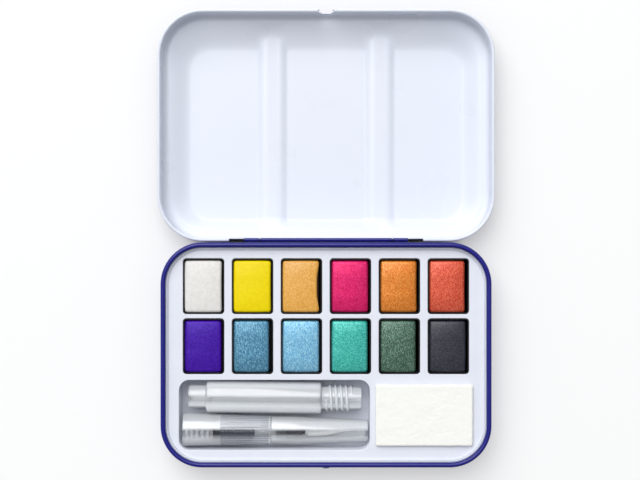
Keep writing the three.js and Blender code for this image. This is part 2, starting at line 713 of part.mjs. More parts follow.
function cap() {
  const start = BODY_LENGTH + FIT_GAP;
  const taperStart = start + CAP_SKIRT;
  const taper = (CAP_RADIUS - CAP_TIP_RADIUS) / (BRUSH_LENGTH - taperStart);
  const mouth = SPIGOT_RADIUS + FIT_GAP;
  const profile = [
    [BRUSH_LENGTH - CAP_WALL, 0],
    [BRUSH_LENGTH - CAP_WALL, CAP_TIP_RADIUS - CAP_WALL],
    [BODY_END + CAP_CONE, CAP_RADIUS - CAP_WALL - FIT_GAP],
    [start, mouth],
    [start, CAP_RADIUS],
    [taperStart, CAP_RADIUS],
    [BRUSH_LENGTH - CAP_ROUND, CAP_TIP_RADIUS + taper * CAP_ROUND],
    [BRUSH_LENGTH, CAP_TIP_RADIUS - CAP_ROUND],
    [BRUSH_LENGTH, 0],
  ];
  return turned(profile, BRUSH_SIDES);
}

// Bristles: three-sided strands in circles round the feed's spike, all drawn in to one point
const STRAND_CIRCLES = 7;
const STRAND_PITCH = 0.215; // round each circle at the backing
const TUFT_CORE = 0.98; // innermost circle at the backing
const TUFT_RADIUS = 2.02; // outermost circle at the backing
const BELLY_SHARE = 0.5; // where each strand bends, of its length
const BELLY_CORE = 0.25;
const BELLY_RADIUS = 1.75;
const POINT_CORE = 0.05;
const POINT_RADIUS = 0.3;
const STRAND_THICK_SHARE = 0.36; // of the room that each strand has
const BACKING_CORE = 0.92;
const SHORTER_SHARE = 0.16; // of the length, by which the outer strands end sooner

function strand(circle, k, count) {
  const across = circle / (STRAND_CIRCLES - 1);
  const angle = ((k + 0.5 * (circle % 2)) / count) * 2 * Math.PI;
  const between = (a, b) => a + (b - a) * across;
  const from = FERRULE_END - TUFT_INSIDE - TUFT_BACKING / 2;
  const length = TUFT_LENGTH * (1 - SHORTER_SHARE * across);
  const levels = [
    [from, between(TUFT_CORE, TUFT_RADIUS), TUFT_RADIUS - TUFT_CORE],
    [from + length * BELLY_SHARE, between(BELLY_CORE, BELLY_RADIUS), BELLY_RADIUS - BELLY_CORE],
    [from + length, between(POINT_CORE, POINT_RADIUS), 0],
  ];
  return levels.map(([along, out, spread]) => {
    const room = Math.min(spread / (STRAND_CIRCLES - 1), (2 * Math.PI * out) / count);
    const thick = room * STRAND_THICK_SHARE;
    return [0, 1, 2].map((side) => {
      const turn = angle + (side / 3) * 2 * Math.PI;
      return [
        along,
        out * Math.cos(angle) + thick * Math.cos(turn),
        out * Math.sin(angle) + thick * Math.sin(turn),
      ];
    });
  });
}

function bristles() {
  const positions = [];
  const index = [];
  for (let circle = 0; circle < STRAND_CIRCLES; circle++) {
    const radius = TUFT_CORE + ((TUFT_RADIUS - TUFT_CORE) * circle) / (STRAND_CIRCLES - 1);
    const count = Math.floor((2 * Math.PI * radius) / STRAND_PITCH);
    for (let k = 0; k < count; k++) {
      const [foot, belly, point] = strand(circle, k, count);
      const first = positions.length / 3;
      positions.push(...foot.flat(), ...belly.flat(), ...point[0]);
      index.push(first, first + 2, first + 1);
      for (let side = 0; side < 3; side++) {
        const a = first + side;
        const b = first + ((side + 1) % 3);
        index.push(a, b, b + 3, a, b + 3, a + 3, a + 3, b + 3, first + 6);
      }
    }
  }
  const strands = new THREE.BufferGeometry();
  strands.setAttribute('position', new THREE.BufferAttribute(new Float32Array(positions), 3));
  strands.setIndex(index);
  const back = FERRULE_END - TUFT_INSIDE - TUFT_BACKING;
  const rim = FERRULE_BORE - FIT_GAP / 2;
  const backing = sleeve(back, back + TUFT_BACKING, BACKING_CORE, rim, SMALL_SIDES);
  return join(backing, solid(strands));
}

// The box put together

addTo(root, 'base_tin', tin(), 0x10106e, 0.3, 0.1);
addTo(root, 'hinge_wire', hingeWire(), 0x8a8c90, 0.35, 1);

const openLid = new THREE.Group();
openLid.position.set(0, 2 * HINGE_Y, 0);
root.add(openLid);
addTo(openLid, 'lid', lid(), 0xf2f3f8, 0.25);

addTo(root, 'insert_tray', tray(), 0xeef0f7, 0.4);

CAKE_COLOURS.forEach(([colour, hex], i) => {
  const x = columnX(i % COLUMNS);
  const y = rowY(Math.floor(i / COLUMNS));
  const number = String(i + 1).padStart(2, '0');
  addTo(root, `half_pan_${number}`, pan(x, y), 0x141416, 0.35);
  addTo(root, `paint_${number}_${colour}`, cake(x, y), hex, 0.55);
});

addTo(root, 'sponge', sponge(), 0xfbfbf6, 0.95);

const tankY = WELL_BACK - TANK_PLAY - TANK_RADIUS;
const brushY = tankY - TANK_RADIUS - BETWEEN_PLAY - BRUSH_RADIUS;
const seat = WELL_FLOOR + BRUSH_SEAT;

const lyingTank = new THREE.Group();
lyingTank.position.set(WELL_LEFT + TANK_PLAY_ENDS, tankY, seat + TANK_RADIUS);
lyingTank.rotation.z = THREE.MathUtils.degToRad(TANK_TURN);
root.add(lyingTank);
addTo(lyingTank, 'water_tank', tank(), 0xe6ebf4, 0.3, 0, 0.6);

// The capped head lies on its socket's end and its cap's skirt.
const skirtEnd = BODY_LENGTH + FIT_GAP + CAP_SKIRT;
const slope = Math.atan2(BRUSH_RADIUS - CAP_RADIUS, skirtEnd - MOUTH_CHAMFER);
const lyingBrush = new THREE.Group();
lyingBrush.position.set(WELL_LEFT + SOCKET_PLAY, brushY, seat + BRUSH_RADIUS);
lyingBrush.rotation.set(0, slope, THREE.MathUtils.degToRad(BRUSH_TURN), 'ZYX');
root.add(lyingBrush);
addTo(lyingBrush, 'brush_body', headBody(), 0xdfe3ea, 0.1, 0, 0.35);
addTo(lyingBrush, 'seal_ring', seal(), 0x16161a, 0.6);
addTo(lyingBrush, 'drip_regulator', regulatorBack(), 0x14161f, 0.45);
addTo(lyingBrush, 'regulator_nose', regulatorFront(), 0x171a26, 0.45);
addTo(lyingBrush, 'ferrule', ferrule(), 0xc9ccd2, 0.2, 0, 0.5);
addTo(lyingBrush, 'feed_tip', feedTip(), 0x101218, 0.4);
addTo(lyingBrush, 'bristles', bristles(), 0xfcfcfc, 0.8);
addTo(lyingBrush, 'brush_cap', cap(), 0xe4e8f0, 0.08, 0, 0.3);

export default root;
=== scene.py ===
# A watercolour paint box, lying open: an enamelled tin with its lid, and in it a tray of half pans, a sponge
# and a water brush.
import json
import math

import bmesh
import bpy
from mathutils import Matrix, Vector

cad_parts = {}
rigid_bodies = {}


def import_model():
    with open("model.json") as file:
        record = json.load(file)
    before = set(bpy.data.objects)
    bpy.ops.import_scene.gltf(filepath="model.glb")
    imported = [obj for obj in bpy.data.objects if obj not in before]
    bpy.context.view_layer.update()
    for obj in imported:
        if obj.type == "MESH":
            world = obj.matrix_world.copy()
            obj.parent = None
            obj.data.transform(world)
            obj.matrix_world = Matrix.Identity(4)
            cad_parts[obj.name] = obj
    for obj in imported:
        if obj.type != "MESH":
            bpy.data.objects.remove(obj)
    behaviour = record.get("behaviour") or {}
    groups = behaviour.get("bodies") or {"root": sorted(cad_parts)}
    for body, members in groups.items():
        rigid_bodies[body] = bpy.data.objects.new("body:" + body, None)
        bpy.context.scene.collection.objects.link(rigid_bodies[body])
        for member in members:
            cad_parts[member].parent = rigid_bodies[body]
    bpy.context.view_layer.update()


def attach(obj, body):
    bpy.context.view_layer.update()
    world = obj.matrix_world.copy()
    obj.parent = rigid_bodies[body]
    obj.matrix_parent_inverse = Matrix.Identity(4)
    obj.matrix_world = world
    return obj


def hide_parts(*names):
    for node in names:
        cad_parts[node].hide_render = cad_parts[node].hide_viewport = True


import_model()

# Camera: it looks straight down on the open box from half a metre, with a long lens, as the photograph does.
bpy.ops.object.camera_add(location=(-0.0022, 0.0420, 0.52))
camera = bpy.context.object
camera.data.lens = 78
camera.data.clip_start = 0.01
bpy.context.scene.camera = camera
bpy.context.scene.view_settings.view_transform = "Standard"

# Tin: one pressed tinplate sheet, with deep blue enamel outside and white inside. Its rim is rolled inwards
# over the tray, three tubes are rolled out of its back wall for the hinge, and a dimple in its front wall
# holds the lid shut.
SHEET = 0.3
TIN_LENGTH, TIN_DEPTH, TIN_HEIGHT = 120.9, 82.15, 14.5
TIN_CORNER, TIN_BEND = 15.2, 1.5
# The flat sheet drawn beside each bend, which keeps the bend's own shading from running into the flat.
TIN_STRIP = 0.4
RIM_RADIUS, RIM_TURN = 0.9, 262
HINGE_Y, HINGE_Z = 42.075, 11.0
TUBE_RADIUS, TUBE_TURN = 0.65, 325
# The middle of each hinge tube in X, and its length.
TUBES = ((0, 48.2), (-27.3, 5.4), (27.3, 5.4))
# The web that joins a tube to the wall, and how far it goes into the wall's sheet.
WEB_OVERLAP = 0.15
WEB = HINGE_Y - TIN_DEPTH / 2 + WEB_OVERLAP
DIMPLE = (0, 0.1 - TIN_DEPTH / 2, HINGE_Z + 0.2)
DIMPLE_HALF_LENGTH, DIMPLE_HALF_HEIGHT = 1.95, 1.2
# Each ring of the dimple: its width as a share of the foot's, and how far it stands out from the ring before.
DIMPLE_RINGS = (
    (0.94, 0.1), (0.86, 0.07), (0.79, 0.14), (0.72, 0.17),
    (0.6, 0.16), (0.45, 0.1), (0.28, 0.05), (0.1, 0.02),
)


class Lead:
    """A lead from one shader node to the next, on which sums can be written."""

    def __init__(self, finish, socket):
        self.finish = finish
        self.socket = socket

    def sum(self, operation, *values):
        return self.finish.node("Math", {"operation": operation}, dict(enumerate(values)))

    def __add__(self, other):
        return self.sum("ADD", self, other)

    def __radd__(self, other):
        return self.sum("ADD", other, self)

    def __sub__(self, other):
        return self.sum("SUBTRACT", self, other)

    def __rsub__(self, other):
        return self.sum("SUBTRACT", other, self)

    def __mul__(self, other):
        return self.sum("MULTIPLY", self, other)

    def __rmul__(self, other):
        return self.sum("MULTIPLY", other, self)

    def __abs__(self):
        return self.sum("ABSOLUTE", self)

    def or_more(self, other):
        return self.sum("MAXIMUM", self, other)

    def clamped(self):
        """The same lead, held between 0 and 1."""
        return self.finish.node("Clamp", {}, {"Value": self})


class Finish:
    """What a surface is coated with or moulded from: a material whose nodes are added one by one."""

    def __init__(self, name, **constants):
        self.material = bpy.data.materials.new(name)
        self.material.use_nodes = True
        self.nodes = self.material.node_tree.nodes
        self.shader = self.nodes["Principled BSDF"]
        self.set({key.replace("_", " "): value for key, value in constants.items()})

    def set(self, sockets, node=None):
        node = node or self.shader
        for key, value in sockets.items():
            if isinstance(value, Lead):
                self.material.node_tree.links.new(value.socket, node.inputs[key])
            else:
                node.inputs[key].default_value = value

    def node(self, kind, settings=None, sockets=None, output=0):
        """Adds a node of a kind, sets it, joins its sockets, and gives one of its outputs."""
        node = self.nodes.new("ShaderNode" + kind)
        for key, value in (settings or {}).items():
            if key == "stops":
                while len(node.color_ramp.elements) < len(value):
                    node.color_ramp.elements.new(0.5)
                for element, (place, colour) in zip(node.color_ramp.elements, value):
                    element.position = place
                    element.color = colour
            else:
                setattr(node, key, value)
        self.set(sockets or {}, node)
        return Lead(self, node.outputs[output])

    def place(self):
        return self.node("TexCoord", output="Object")

    def noise(self, scale, detail=2.0, rough=0.5, place=None):
        """Clouds of that many lumps to a millimetre."""
        place = place or self.place()
        sockets = {"Vector": place, "Scale": scale * 1000, "Detail": detail, "Roughness": rough}
        return self.node("TexNoise", {}, sockets)

    def mixed(self, factor, first, second):
        return self.node("Mix", {"data_type": "RGBA"}, {0: factor, 6: first, 7: second}, output=2)

    def raised(self, height, depth, base=None):
        """A surface whose height varies between 0 and 1 over a depth in millimetres."""
        sockets = {"Height": height, "Distance": depth / 1000, "Strength": 1.0}
        if base:
            sockets["Normal"] = base
        self.set({"Normal": self.node("Bump", {}, sockets)})


def shade(red, green, blue):
    """A colour as it looks on a screen, from 0 to 255, as a shader takes it."""
    parts = [value / 255 for value in (red, green, blue)]
    return tuple(p / 12.92 if p <= 0.04045 else ((p + 0.055) / 1.055) ** 2.4 for p in parts) + (1.0,)


def begin():
    """An empty mesh in hand, open for editing."""
    bpy.ops.object.select_all(action="DESELECT")
    bpy.ops.object.add(type="MESH", enter_editmode=True)
    return bpy.context.object


def pick(kind, wanted):
    """Selects the vertices, edges or faces of the piece in hand whose place and normal are wanted. An edge is
    asked about itself in place of its normal."""
    bpy.ops.mesh.select_mode(type=kind)
    bpy.ops.mesh.select_all(action="DESELECT")
    mesh = bmesh.from_edit_mesh(bpy.context.object.data)
    for item in {"VERT": mesh.verts, "EDGE": mesh.edges, "FACE": mesh.faces}[kind]:
        if kind == "VERT":
            chosen = wanted(item.co, item.normal)
        elif kind == "EDGE":
            chosen = wanted((item.verts[0].co + item.verts[1].co) / 2, item)
        else:
            chosen = wanted(item.calc_center_median(), item.normal)
        if chosen:
            item.select_set(True)
    mesh.select_flush_mode()
    bmesh.update_edit_mesh(bpy.context.object.data)


def plate(length, depth, radius, x=0.0, y=0.0, z=0.0, steps=18):
    """Adds a flat plate with round corners to the piece in hand, and leaves all of it selected."""
    bpy.ops.mesh.select_mode(type="VERT")
    bpy.ops.mesh.primitive_plane_add(size=1, location=(x, y, z))
    bpy.ops.transform.resize(value=(length, depth, 1), center_override=(x, y, z))
    bpy.ops.mesh.bevel(offset=radius, segments=steps, affect="VERTICES")


def draw_wall(points):
    """Draws the selected rim on through the points of a section: how far out, and how high."""
    bpy.ops.mesh.select_mode(type="EDGE")
    for (out, up), (next_out, next_up) in zip(points, points[1:]):
        bpy.ops.mesh.extrude_edges_move(TRANSFORM_OT_translate={"value": (0, 0, 1)})
        bpy.ops.transform.shrink_fatten(value=next_out - out, use_even_offset=True)
        bpy.ops.transform.translate(value=(0, 0, next_up - up - 1))


def arc(out, up, radius, start, end, steps):
    """Points on an arc of a section, its angles in degrees."""
    angles = [math.radians(start + (end - start) * k / steps) for k in range(steps + 1)]
    return [(out + radius * math.cos(a), up + radius * math.sin(a)) for a in angles]


def thicken(thickness, *coats):
    """Gives the sheet in hand its thickness on the side away from its normals, and its coats: the first on
    the side of its normals and on its edge, the last on the far side."""
    bpy.ops.object.mode_set(mode="OBJECT")
    for coat in coats:
        bpy.context.object.data.materials.append(coat.material)
    bpy.ops.object.modifier_add(type="SOLIDIFY")
    wall = bpy.context.object.modifiers[-1]
    wall.thickness = thickness
    wall.offset = -1
    wall.use_even_offset = True
    wall.material_offset = len(coats) - 1
    bpy.ops.object.modifier_apply(modifier=wall.name)


def recoat(number, wanted):
    """Gives the wanted faces of the piece in hand another of its coats, counted from 0."""
    pick("FACE", wanted)
    bpy.context.object.active_material_index = number
    bpy.ops.object.material_slot_assign()


def finish(name, body, slot, replaced, *coats, smooth=40, at=(0, 0, 0), turn=(0, 0, 0)):
    """Closes the piece in hand: smooth, in metres, at its place, with its coats, and riding on its body."""
    if bpy.context.mode != "OBJECT":
        bpy.ops.object.mode_set(mode="OBJECT")
    piece = bpy.context.object
    piece.name = piece.data.name = name
    bpy.ops.object.select_all(action="DESELECT")
    piece.select_set(True)
    piece.location = [distance / 1000 for distance in at]
    piece.rotation_euler = turn
    piece.scale = (0.001, 0.001, 0.001)
    bpy.ops.object.transform_apply(location=True, rotation=True, scale=True)
    bpy.ops.object.shade_smooth_by_angle(angle=math.radians(smooth))
    for coat in coats:
        piece.data.materials.append(coat.material)
    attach(piece, body)
    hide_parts(replaced)
    return piece


blue_enamel = Finish("blue_enamel", Specular_IOR_Level=0.5)
speckle = blue_enamel.noise(3.0, 3.0)
blue_enamel.set({
    "Base Color": blue_enamel.mixed(speckle, shade(0, 0, 114), shade(2, 6, 130)),
    "Roughness": 0.26 + speckle * 0.08,
})
blue_enamel.raised(blue_enamel.noise(0.6, 2.0), 0.006)

white_enamel = Finish("white_enamel", Specular_IOR_Level=0.35)
cloud = white_enamel.noise(0.06, 1.0)
white_enamel.set({
    "Base Color": white_enamel.mixed(cloud, shade(227, 231, 242), shade(230, 234, 245)),
    "Roughness": 0.26 + cloud * 0.04,
})
white_enamel.raised(white_enamel.noise(0.2, 2.0), 0.002)

begin()
plate(
    TIN_LENGTH - 2 * TIN_BEND - 2 * TIN_STRIP, TIN_DEPTH - 2 * TIN_BEND - 2 * TIN_STRIP,
    TIN_CORNER - TIN_BEND - TIN_STRIP,
)
bpy.ops.mesh.flip_normals()
draw_wall([
    (-TIN_BEND - TIN_STRIP, 0),
    *arc(-TIN_BEND, TIN_BEND, TIN_BEND, -90, 0, 8),
    (0, TIN_BEND + TIN_STRIP),
    (0, TIN_HEIGHT - RIM_RADIUS - TIN_STRIP),
    *arc(-RIM_RADIUS, TIN_HEIGHT - RIM_RADIUS, RIM_RADIUS, 0, RIM_TURN, 24),
])
for middle, length in TUBES:
    web_y = HINGE_Y - WEB / 2
    bpy.ops.mesh.select_mode(type="VERT")
    bpy.ops.mesh.primitive_plane_add(size=1, location=(middle, web_y, HINGE_Z - TUBE_RADIUS))
    bpy.ops.transform.resize(value=(length, WEB, 1), center_override=(middle, web_y, 0))
    bpy.ops.mesh.flip_normals()
    pick("EDGE", lambda place, edge: place.y > HINGE_Y - 0.01 and abs(place.x - middle) < 0.01)
    bpy.ops.mesh.spin(steps=24, angle=math.radians(-TUBE_TURN), center=(0, HINGE_Y, HINGE_Z), axis=(1, 0, 0))
bpy.ops.mesh.select_mode(type="VERT")
bpy.ops.mesh.primitive_circle_add(
    vertices=40, radius=1, fill_type="NGON", location=DIMPLE, rotation=(math.pi / 2, 0, 0),
)
bpy.ops.transform.resize(value=(DIMPLE_HALF_LENGTH, 1, DIMPLE_HALF_HEIGHT), center_override=DIMPLE)
last_share = 1.0
for share, rise in DIMPLE_RINGS:
    bpy.ops.mesh.extrude_region_move(TRANSFORM_OT_translate={"value": (0, -rise, 0)})
    bpy.ops.transform.resize(value=(share / last_share, 1, share / last_share), center_override=DIMPLE)
    last_share = share
thicken(SHEET, blue_enamel, white_enamel)
bpy.ops.object.mode_set(mode="EDIT")
recoat(0, lambda place, normal: place.y > TIN_DEPTH / 2 + 0.02)
finish("pressed_tin", "base", "blue_enamel", "base_tin")

# Hinge wire: a straight length of drawn steel wire, on which the lid turns. It runs through the tin's three
# tubes, and the lid's own curl holds its ends.
WIRE_RADIUS, WIRE_LENGTH = 0.27, 81.2

# The wire's near-black colour is painted shade: it lies in shadow in the lid's curl.
steel_painted_shade = Finish("steel_painted_shade", Metallic=1.0)
mottle = steel_painted_shade.noise(2.0)
steel_painted_shade.set({
    "Base Color": steel_painted_shade.mixed(mottle, shade(4, 4, 6), shade(14, 14, 18)),
    "Roughness": 0.4 + mottle * 0.15,
})

begin()
bpy.ops.mesh.primitive_cylinder_add(
    vertices=20, radius=WIRE_RADIUS, depth=WIRE_LENGTH, rotation=(0, math.pi / 2, 0),
)
bpy.ops.transform.translate(value=(0, HINGE_Y, HINGE_Z))
pick("EDGE", lambda place, edge: abs(place.x) > WIRE_LENGTH / 2 - 0.1)
bpy.ops.mesh.bevel(offset=0.1, segments=3, affect="EDGES")
finish("hinge_pin", "base", "hinge_steel", "hinge_wire", steel_painted_shade)

# Lid: one pressed sheet of the same tinplate, white enamel inside, blue outside. Its edge is rolled outwards
# round the hinge's wire, and three mixing wells with soft slopes are pressed out of its panel, with two low
# ridges between them. Its front wall is notched for the dimple, and its back wall is cut away at the tubes.
LID_GAP = 0.35
LID_Y = 2 * HINGE_Y
LID_LENGTH, LID_DEPTH = TIN_LENGTH + 2 * LID_GAP, TIN_DEPTH + 2 * LID_GAP
LID_CORNER, LID_BEND = TIN_CORNER + LID_GAP, 1.9
LID_STRIP = 0.15
CURL_RADIUS = 0.63
PANEL_Z = 3.3
LEDGE = 2.6
WELL_DEPTH = LID_DEPTH - 2 * LEDGE
WELL_FALL = PANEL_Z - SHEET
WELL_STRIP, WELL_CORNER = 0.12, 5.5
WELL_STEPS, WELL_FLOOR_STRIP = 14, 0.3
MIDDLE_WELL_LENGTH, SIDE_WELL_START = 37.6, 21.4
# How wide the slopes are: towards the hinge, towards the front edge, beside a ridge, and at the lid's ends.
NEAR_SLOPE, FAR_SLOPE, RIDGE_SLOPE, SIDE_SLOPE = 4.4, 10.0, 4.4, 7.6
# A ridge is pressed down to a share of the ledge's height, over all but its ends, and eased out over a reach.
RIDGE_X, RIDGE_HALF_WIDTH, RIDGE_HALF_LENGTH = 20.1, 1.5, 33.5
RIDGE_SHARE, RIDGE_REACH = 0.36, 8
HINGE_CUT_X, HINGE_CUT_Z = 35.6, 9.9
NOTCH_FOOT, NOTCH_TOP, NOTCH_Z = 1.55, 2.85, 7.5


def sink_well(x, length, corners, slopes):
    """Presses a mixing well into the panel: its rim with a radius to each corner, and smooth slopes, whose
    widths are given for the left and the right side."""
    half_length, half_depth = length / 2, WELL_DEPTH / 2
    bpy.ops.mesh.select_mode(type="VERT")
    bpy.ops.mesh.primitive_plane_add(size=1, location=(x, LID_Y, PANEL_Z))
    bpy.ops.transform.resize(value=(length, WELL_DEPTH, 1), center_override=(x, LID_Y, PANEL_Z))
    for side, radius in zip((-1, 1), corners):
        edge = x + side * half_length
        pick("VERT", lambda place, normal: abs(place.x - edge) < 0.01
             and abs(abs(place.y - LID_Y) - half_depth) < 0.01)
        bpy.ops.mesh.bevel(offset=radius, segments=14, affect="VERTICES")
    pick("FACE", lambda place, normal: abs(place.z - PANEL_Z) < 0.001
         and math.hypot(place.x - x, place.y - LID_Y) < 5)
    bpy.ops.mesh.inset(thickness=WELL_STRIP, depth=0)
    rim_x = (x - half_length + WELL_STRIP, x + half_length - WELL_STRIP)
    rim_y = (LID_Y - half_depth + WELL_STRIP, LID_Y + half_depth - WELL_STRIP)
    inside_x, inside_y = rim_x, rim_y
    inset = RIDGE_SLOPE / WELL_STEPS
    fallen = 0.0
    for k in range(1, WELL_STEPS + 1):
        share = k / WELL_STEPS
        fall = share * share * (3 - 2 * share)
        bpy.ops.mesh.inset(thickness=inset, depth=-WELL_FALL * (fall - fallen))
        fallen = fall
        # The inset moved all sides alike, so the floor is stretched to where each side's own slope ends.
        reached = []
        for axis, (first, last), (low, high), (low_slope, high_slope) in (
            (0, rim_x, inside_x, slopes), (1, rim_y, inside_y, (NEAR_SLOPE, FAR_SLOPE)),
        ):
            low, high = low + inset, high - inset
            goal = (first + low_slope * share, last - high_slope * share)
            ratio = (goal[1] - goal[0]) / (high - low)
            if abs(ratio - 1) > 0.00001:
                scale, centre = [1, 1, 1], [0, 0, 0]
                scale[axis] = ratio
                centre[axis] = (goal[0] - ratio * low) / (1 - ratio)
                bpy.ops.transform.resize(value=scale, center_override=centre)
            reached.append(goal)
        inside_x, inside_y = reached
    bpy.ops.mesh.inset(thickness=WELL_FLOOR_STRIP, depth=0)


def score(wanted, *cuts):
    """Cuts the wanted faces of the piece in hand along planes, each given by a place on it and its normal."""
    for place, normal in cuts:
        pick("FACE", wanted)
        bpy.ops.mesh.bisect(plane_co=place, plane_no=normal, threshold=0.02)


begin()
plate(
    LID_LENGTH - 2 * LID_BEND - 2 * LID_STRIP, LID_DEPTH - 2 * LID_BEND - 2 * LID_STRIP,
    LID_CORNER - LID_BEND - LID_STRIP, y=LID_Y, z=PANEL_Z,
)
bpy.ops.mesh.flip_normals()
draw_wall([
    (-LID_BEND - LID_STRIP, PANEL_Z),
    *arc(-LID_BEND, PANEL_Z + LID_BEND, LID_BEND, -90, 0, 9),
    (0, PANEL_Z + LID_BEND + 2 * LID_STRIP),
    (0, HINGE_Z - 2 * LID_STRIP),
    *arc(CURL_RADIUS, HINGE_Z, CURL_RADIUS, 180, -82, 22),
])
bpy.ops.mesh.select_all(action="SELECT")
bpy.ops.mesh.flip_normals()
pick("FACE", lambda place, normal: math.dist(place, (0, LID_Y, PANEL_Z)) < 1)
bpy.ops.mesh.delete(type="ONLY_FACE")
end_x = LID_LENGTH / 2 - LEDGE
side_x, side_length = (end_x + SIDE_WELL_START) / 2, end_x - SIDE_WELL_START
sink_well(0, MIDDLE_WELL_LENGTH, (WELL_CORNER, WELL_CORNER), (RIDGE_SLOPE, RIDGE_SLOPE))
sink_well(-side_x, side_length, (LID_CORNER - LEDGE, WELL_CORNER), (SIDE_SLOPE, RIDGE_SLOPE))
sink_well(side_x, side_length, (WELL_CORNER, LID_CORNER - LEDGE), (RIDGE_SLOPE, SIDE_SLOPE))
pick("EDGE", lambda place, edge: abs(place.z - PANEL_Z) < 0.001 and len(edge.link_faces) == 1)
bpy.ops.mesh.fill(use_beauty=True)
bpy.ops.mesh.normals_make_consistent(inside=False)
pick("FACE", lambda place, normal: abs(place.z - PANEL_Z) < 0.001 and normal.z < -0.5)
bpy.ops.mesh.flip_normals()
pick("VERT", lambda place, normal: abs(abs(place.x) - RIDGE_X) < RIDGE_HALF_WIDTH
     and abs(place.y - LID_Y) < RIDGE_HALF_LENGTH)
bpy.ops.transform.resize(
    value=(1, 1, RIDGE_SHARE), center_override=(0, LID_Y, SHEET), use_proportional_edit=True,
    proportional_edit_falloff="SMOOTH", proportional_size=RIDGE_REACH,
)
back_y = LID_Y - LID_DEPTH / 2
score(
    lambda place, normal: place.y < back_y + 0.5 and place.z > 5 and abs(place.x) < 45,
    ((-HINGE_CUT_X, 0, 0), (1, 0, 0)), ((HINGE_CUT_X, 0, 0), (1, 0, 0)), ((0, 0, HINGE_CUT_Z), (0, 0, 1)),
)
pick("FACE", lambda place, normal: place.y < back_y + 0.5 and place.z > HINGE_CUT_Z
     and abs(place.x) < HINGE_CUT_X)
bpy.ops.mesh.delete(type="FACE")
front_y = LID_Y + LID_DEPTH / 2
slant = (NOTCH_TOP - NOTCH_FOOT) / (HINGE_Z + TUBE_RADIUS - NOTCH_Z)
score(
    lambda place, normal: place.y > front_y - 0.5 and place.z > 5 and abs(place.x) < 45,
    ((-NOTCH_FOOT, 0, NOTCH_Z), (1, 0, slant)), ((NOTCH_FOOT, 0, NOTCH_Z), (1, 0, -slant)),
    ((0, 0, NOTCH_Z), (0, 0, 1)),
)
pick("FACE", lambda place, normal: place.y > front_y - 0.5 and place.z > NOTCH_Z
     and abs(place.x) < NOTCH_FOOT + slant * (place.z - NOTCH_Z))
bpy.ops.mesh.delete(type="FACE")
thicken(SHEET, white_enamel, blue_enamel)
finish("pressed_lid", "lid", "white_enamel", "lid")

# Tray: one white plastic moulding that fills the tin's mouth, with twelve pockets for the pans, a long well
# for the water brush and a recess for the sponge.
TRAY_LENGTH, TRAY_DEPTH, TRAY_CORNER = 117.1, 78.35, 13.3
TRAY_TOP, TRAY_FOOT = 11.8, 0.4
TRAY_WALL, TRAY_BORDER = 0.7, 0.8
PITCH_X, PITCH_Y, FIRST_ROW_Y = 17.95, 22.0, 25.025
PAN_SPOTS = [((k % 6 - 2.5) * PITCH_X, FIRST_ROW_Y - (k // 6) * PITCH_Y) for k in range(12)]
WELL_MIDDLE = (-18.9, -22.175)
SPONGE_MIDDLE = (35.95, -22.175)
# The length, depth and corner of each kind of hollow, and the height of its floor.
PAN_POCKET = (15.1, 20.4, 1.25, 2.7)
BRUSH_WELL = (69.9, 25.6, 3.8, 1.2)
SPONGE_RECESS = (34.6, 21.5, 0.8, 3.5)
# Each hollow's upper edge and the foot of its walls are round: steps inwards, and how far each falls.
EDGE_STEPS = ((0.02, 0.005), (0.07, 0.04), (0.07, 0.09), (0.05, 0.125), (0.0201, 0.2))
FOOT_STEPS = ((0.03, 0.12), (0.09, 0.12), (0.12, 0.08), (0.1, 0.03))
EDGE_STRIP, EDGE_WIDTH, EDGE_FALL, FOOT_FALL = 0.12, 0.35, 0.46, 0.35

white_plastic = Finish("white_plastic", Specular_IOR_Level=0.4)
haze = white_plastic.noise(0.2, 2.0)
white_plastic.set({
    "Base Color": white_plastic.mixed(haze, shade(226, 229, 240), shade(232, 235, 244)),
    "Roughness": 0.3 + haze * 0.12,
})
white_plastic.raised(white_plastic.noise(2.5, 3.0), 0.004)

begin()
plate(TRAY_LENGTH - 2 * TRAY_BORDER, TRAY_DEPTH - 2 * TRAY_BORDER, TRAY_CORNER - TRAY_BORDER, z=TRAY_TOP)
bpy.ops.mesh.flip_normals()
draw_wall([
    (-TRAY_BORDER, TRAY_TOP),
    *arc(-TRAY_BORDER, TRAY_TOP + 0.3, 0.3, -90, 0, 4),
    (-0.46, TRAY_TOP + 0.9),
    *arc(-0.23, TRAY_TOP + 0.92, 0.23, 180, 0, 6),
    (0, TRAY_TOP),
    (0, TRAY_FOOT),
])
bpy.ops.mesh.select_all(action="SELECT")
bpy.ops.mesh.flip_normals()
bpy.ops.mesh.normals_make_consistent(inside=False)
pick("FACE", lambda place, normal: math.dist(place, (0, 0, TRAY_TOP)) < 1)
bpy.ops.mesh.delete(type="ONLY_FACE")
hollows = [(*spot, *PAN_POCKET) for spot in PAN_SPOTS]
hollows += [(*WELL_MIDDLE, *BRUSH_WELL), (*SPONGE_MIDDLE, *SPONGE_RECESS)]
for x, y, length, depth, corner, bottom in hollows:
    plate(length + 2 * EDGE_WIDTH, depth + 2 * EDGE_WIDTH, corner + EDGE_WIDTH, x, y, TRAY_TOP, steps=8)
    bpy.ops.mesh.select_mode(type="FACE")
    bpy.ops.mesh.inset(thickness=EDGE_STRIP, depth=0)
    for step, fall in EDGE_STEPS:
        bpy.ops.mesh.inset(thickness=step, depth=-fall)
    bpy.ops.mesh.inset(thickness=0.0005, depth=bottom + FOOT_FALL - TRAY_TOP + EDGE_FALL)
    for step, fall in FOOT_STEPS:
        bpy.ops.mesh.inset(thickness=step, depth=-fall)
    bpy.ops.mesh.inset(thickness=0.2, depth=0)
pick("EDGE", lambda place, edge: abs(place.z - TRAY_TOP) < 0.001 and len(edge.link_faces) == 1)
bpy.ops.mesh.fill(use_beauty=True)
pick("FACE", lambda place, normal: abs(place.z - TRAY_TOP) < 0.001 and normal.z < -0.5)
bpy.ops.mesh.flip_normals()
thicken(TRAY_WALL, white_plastic)
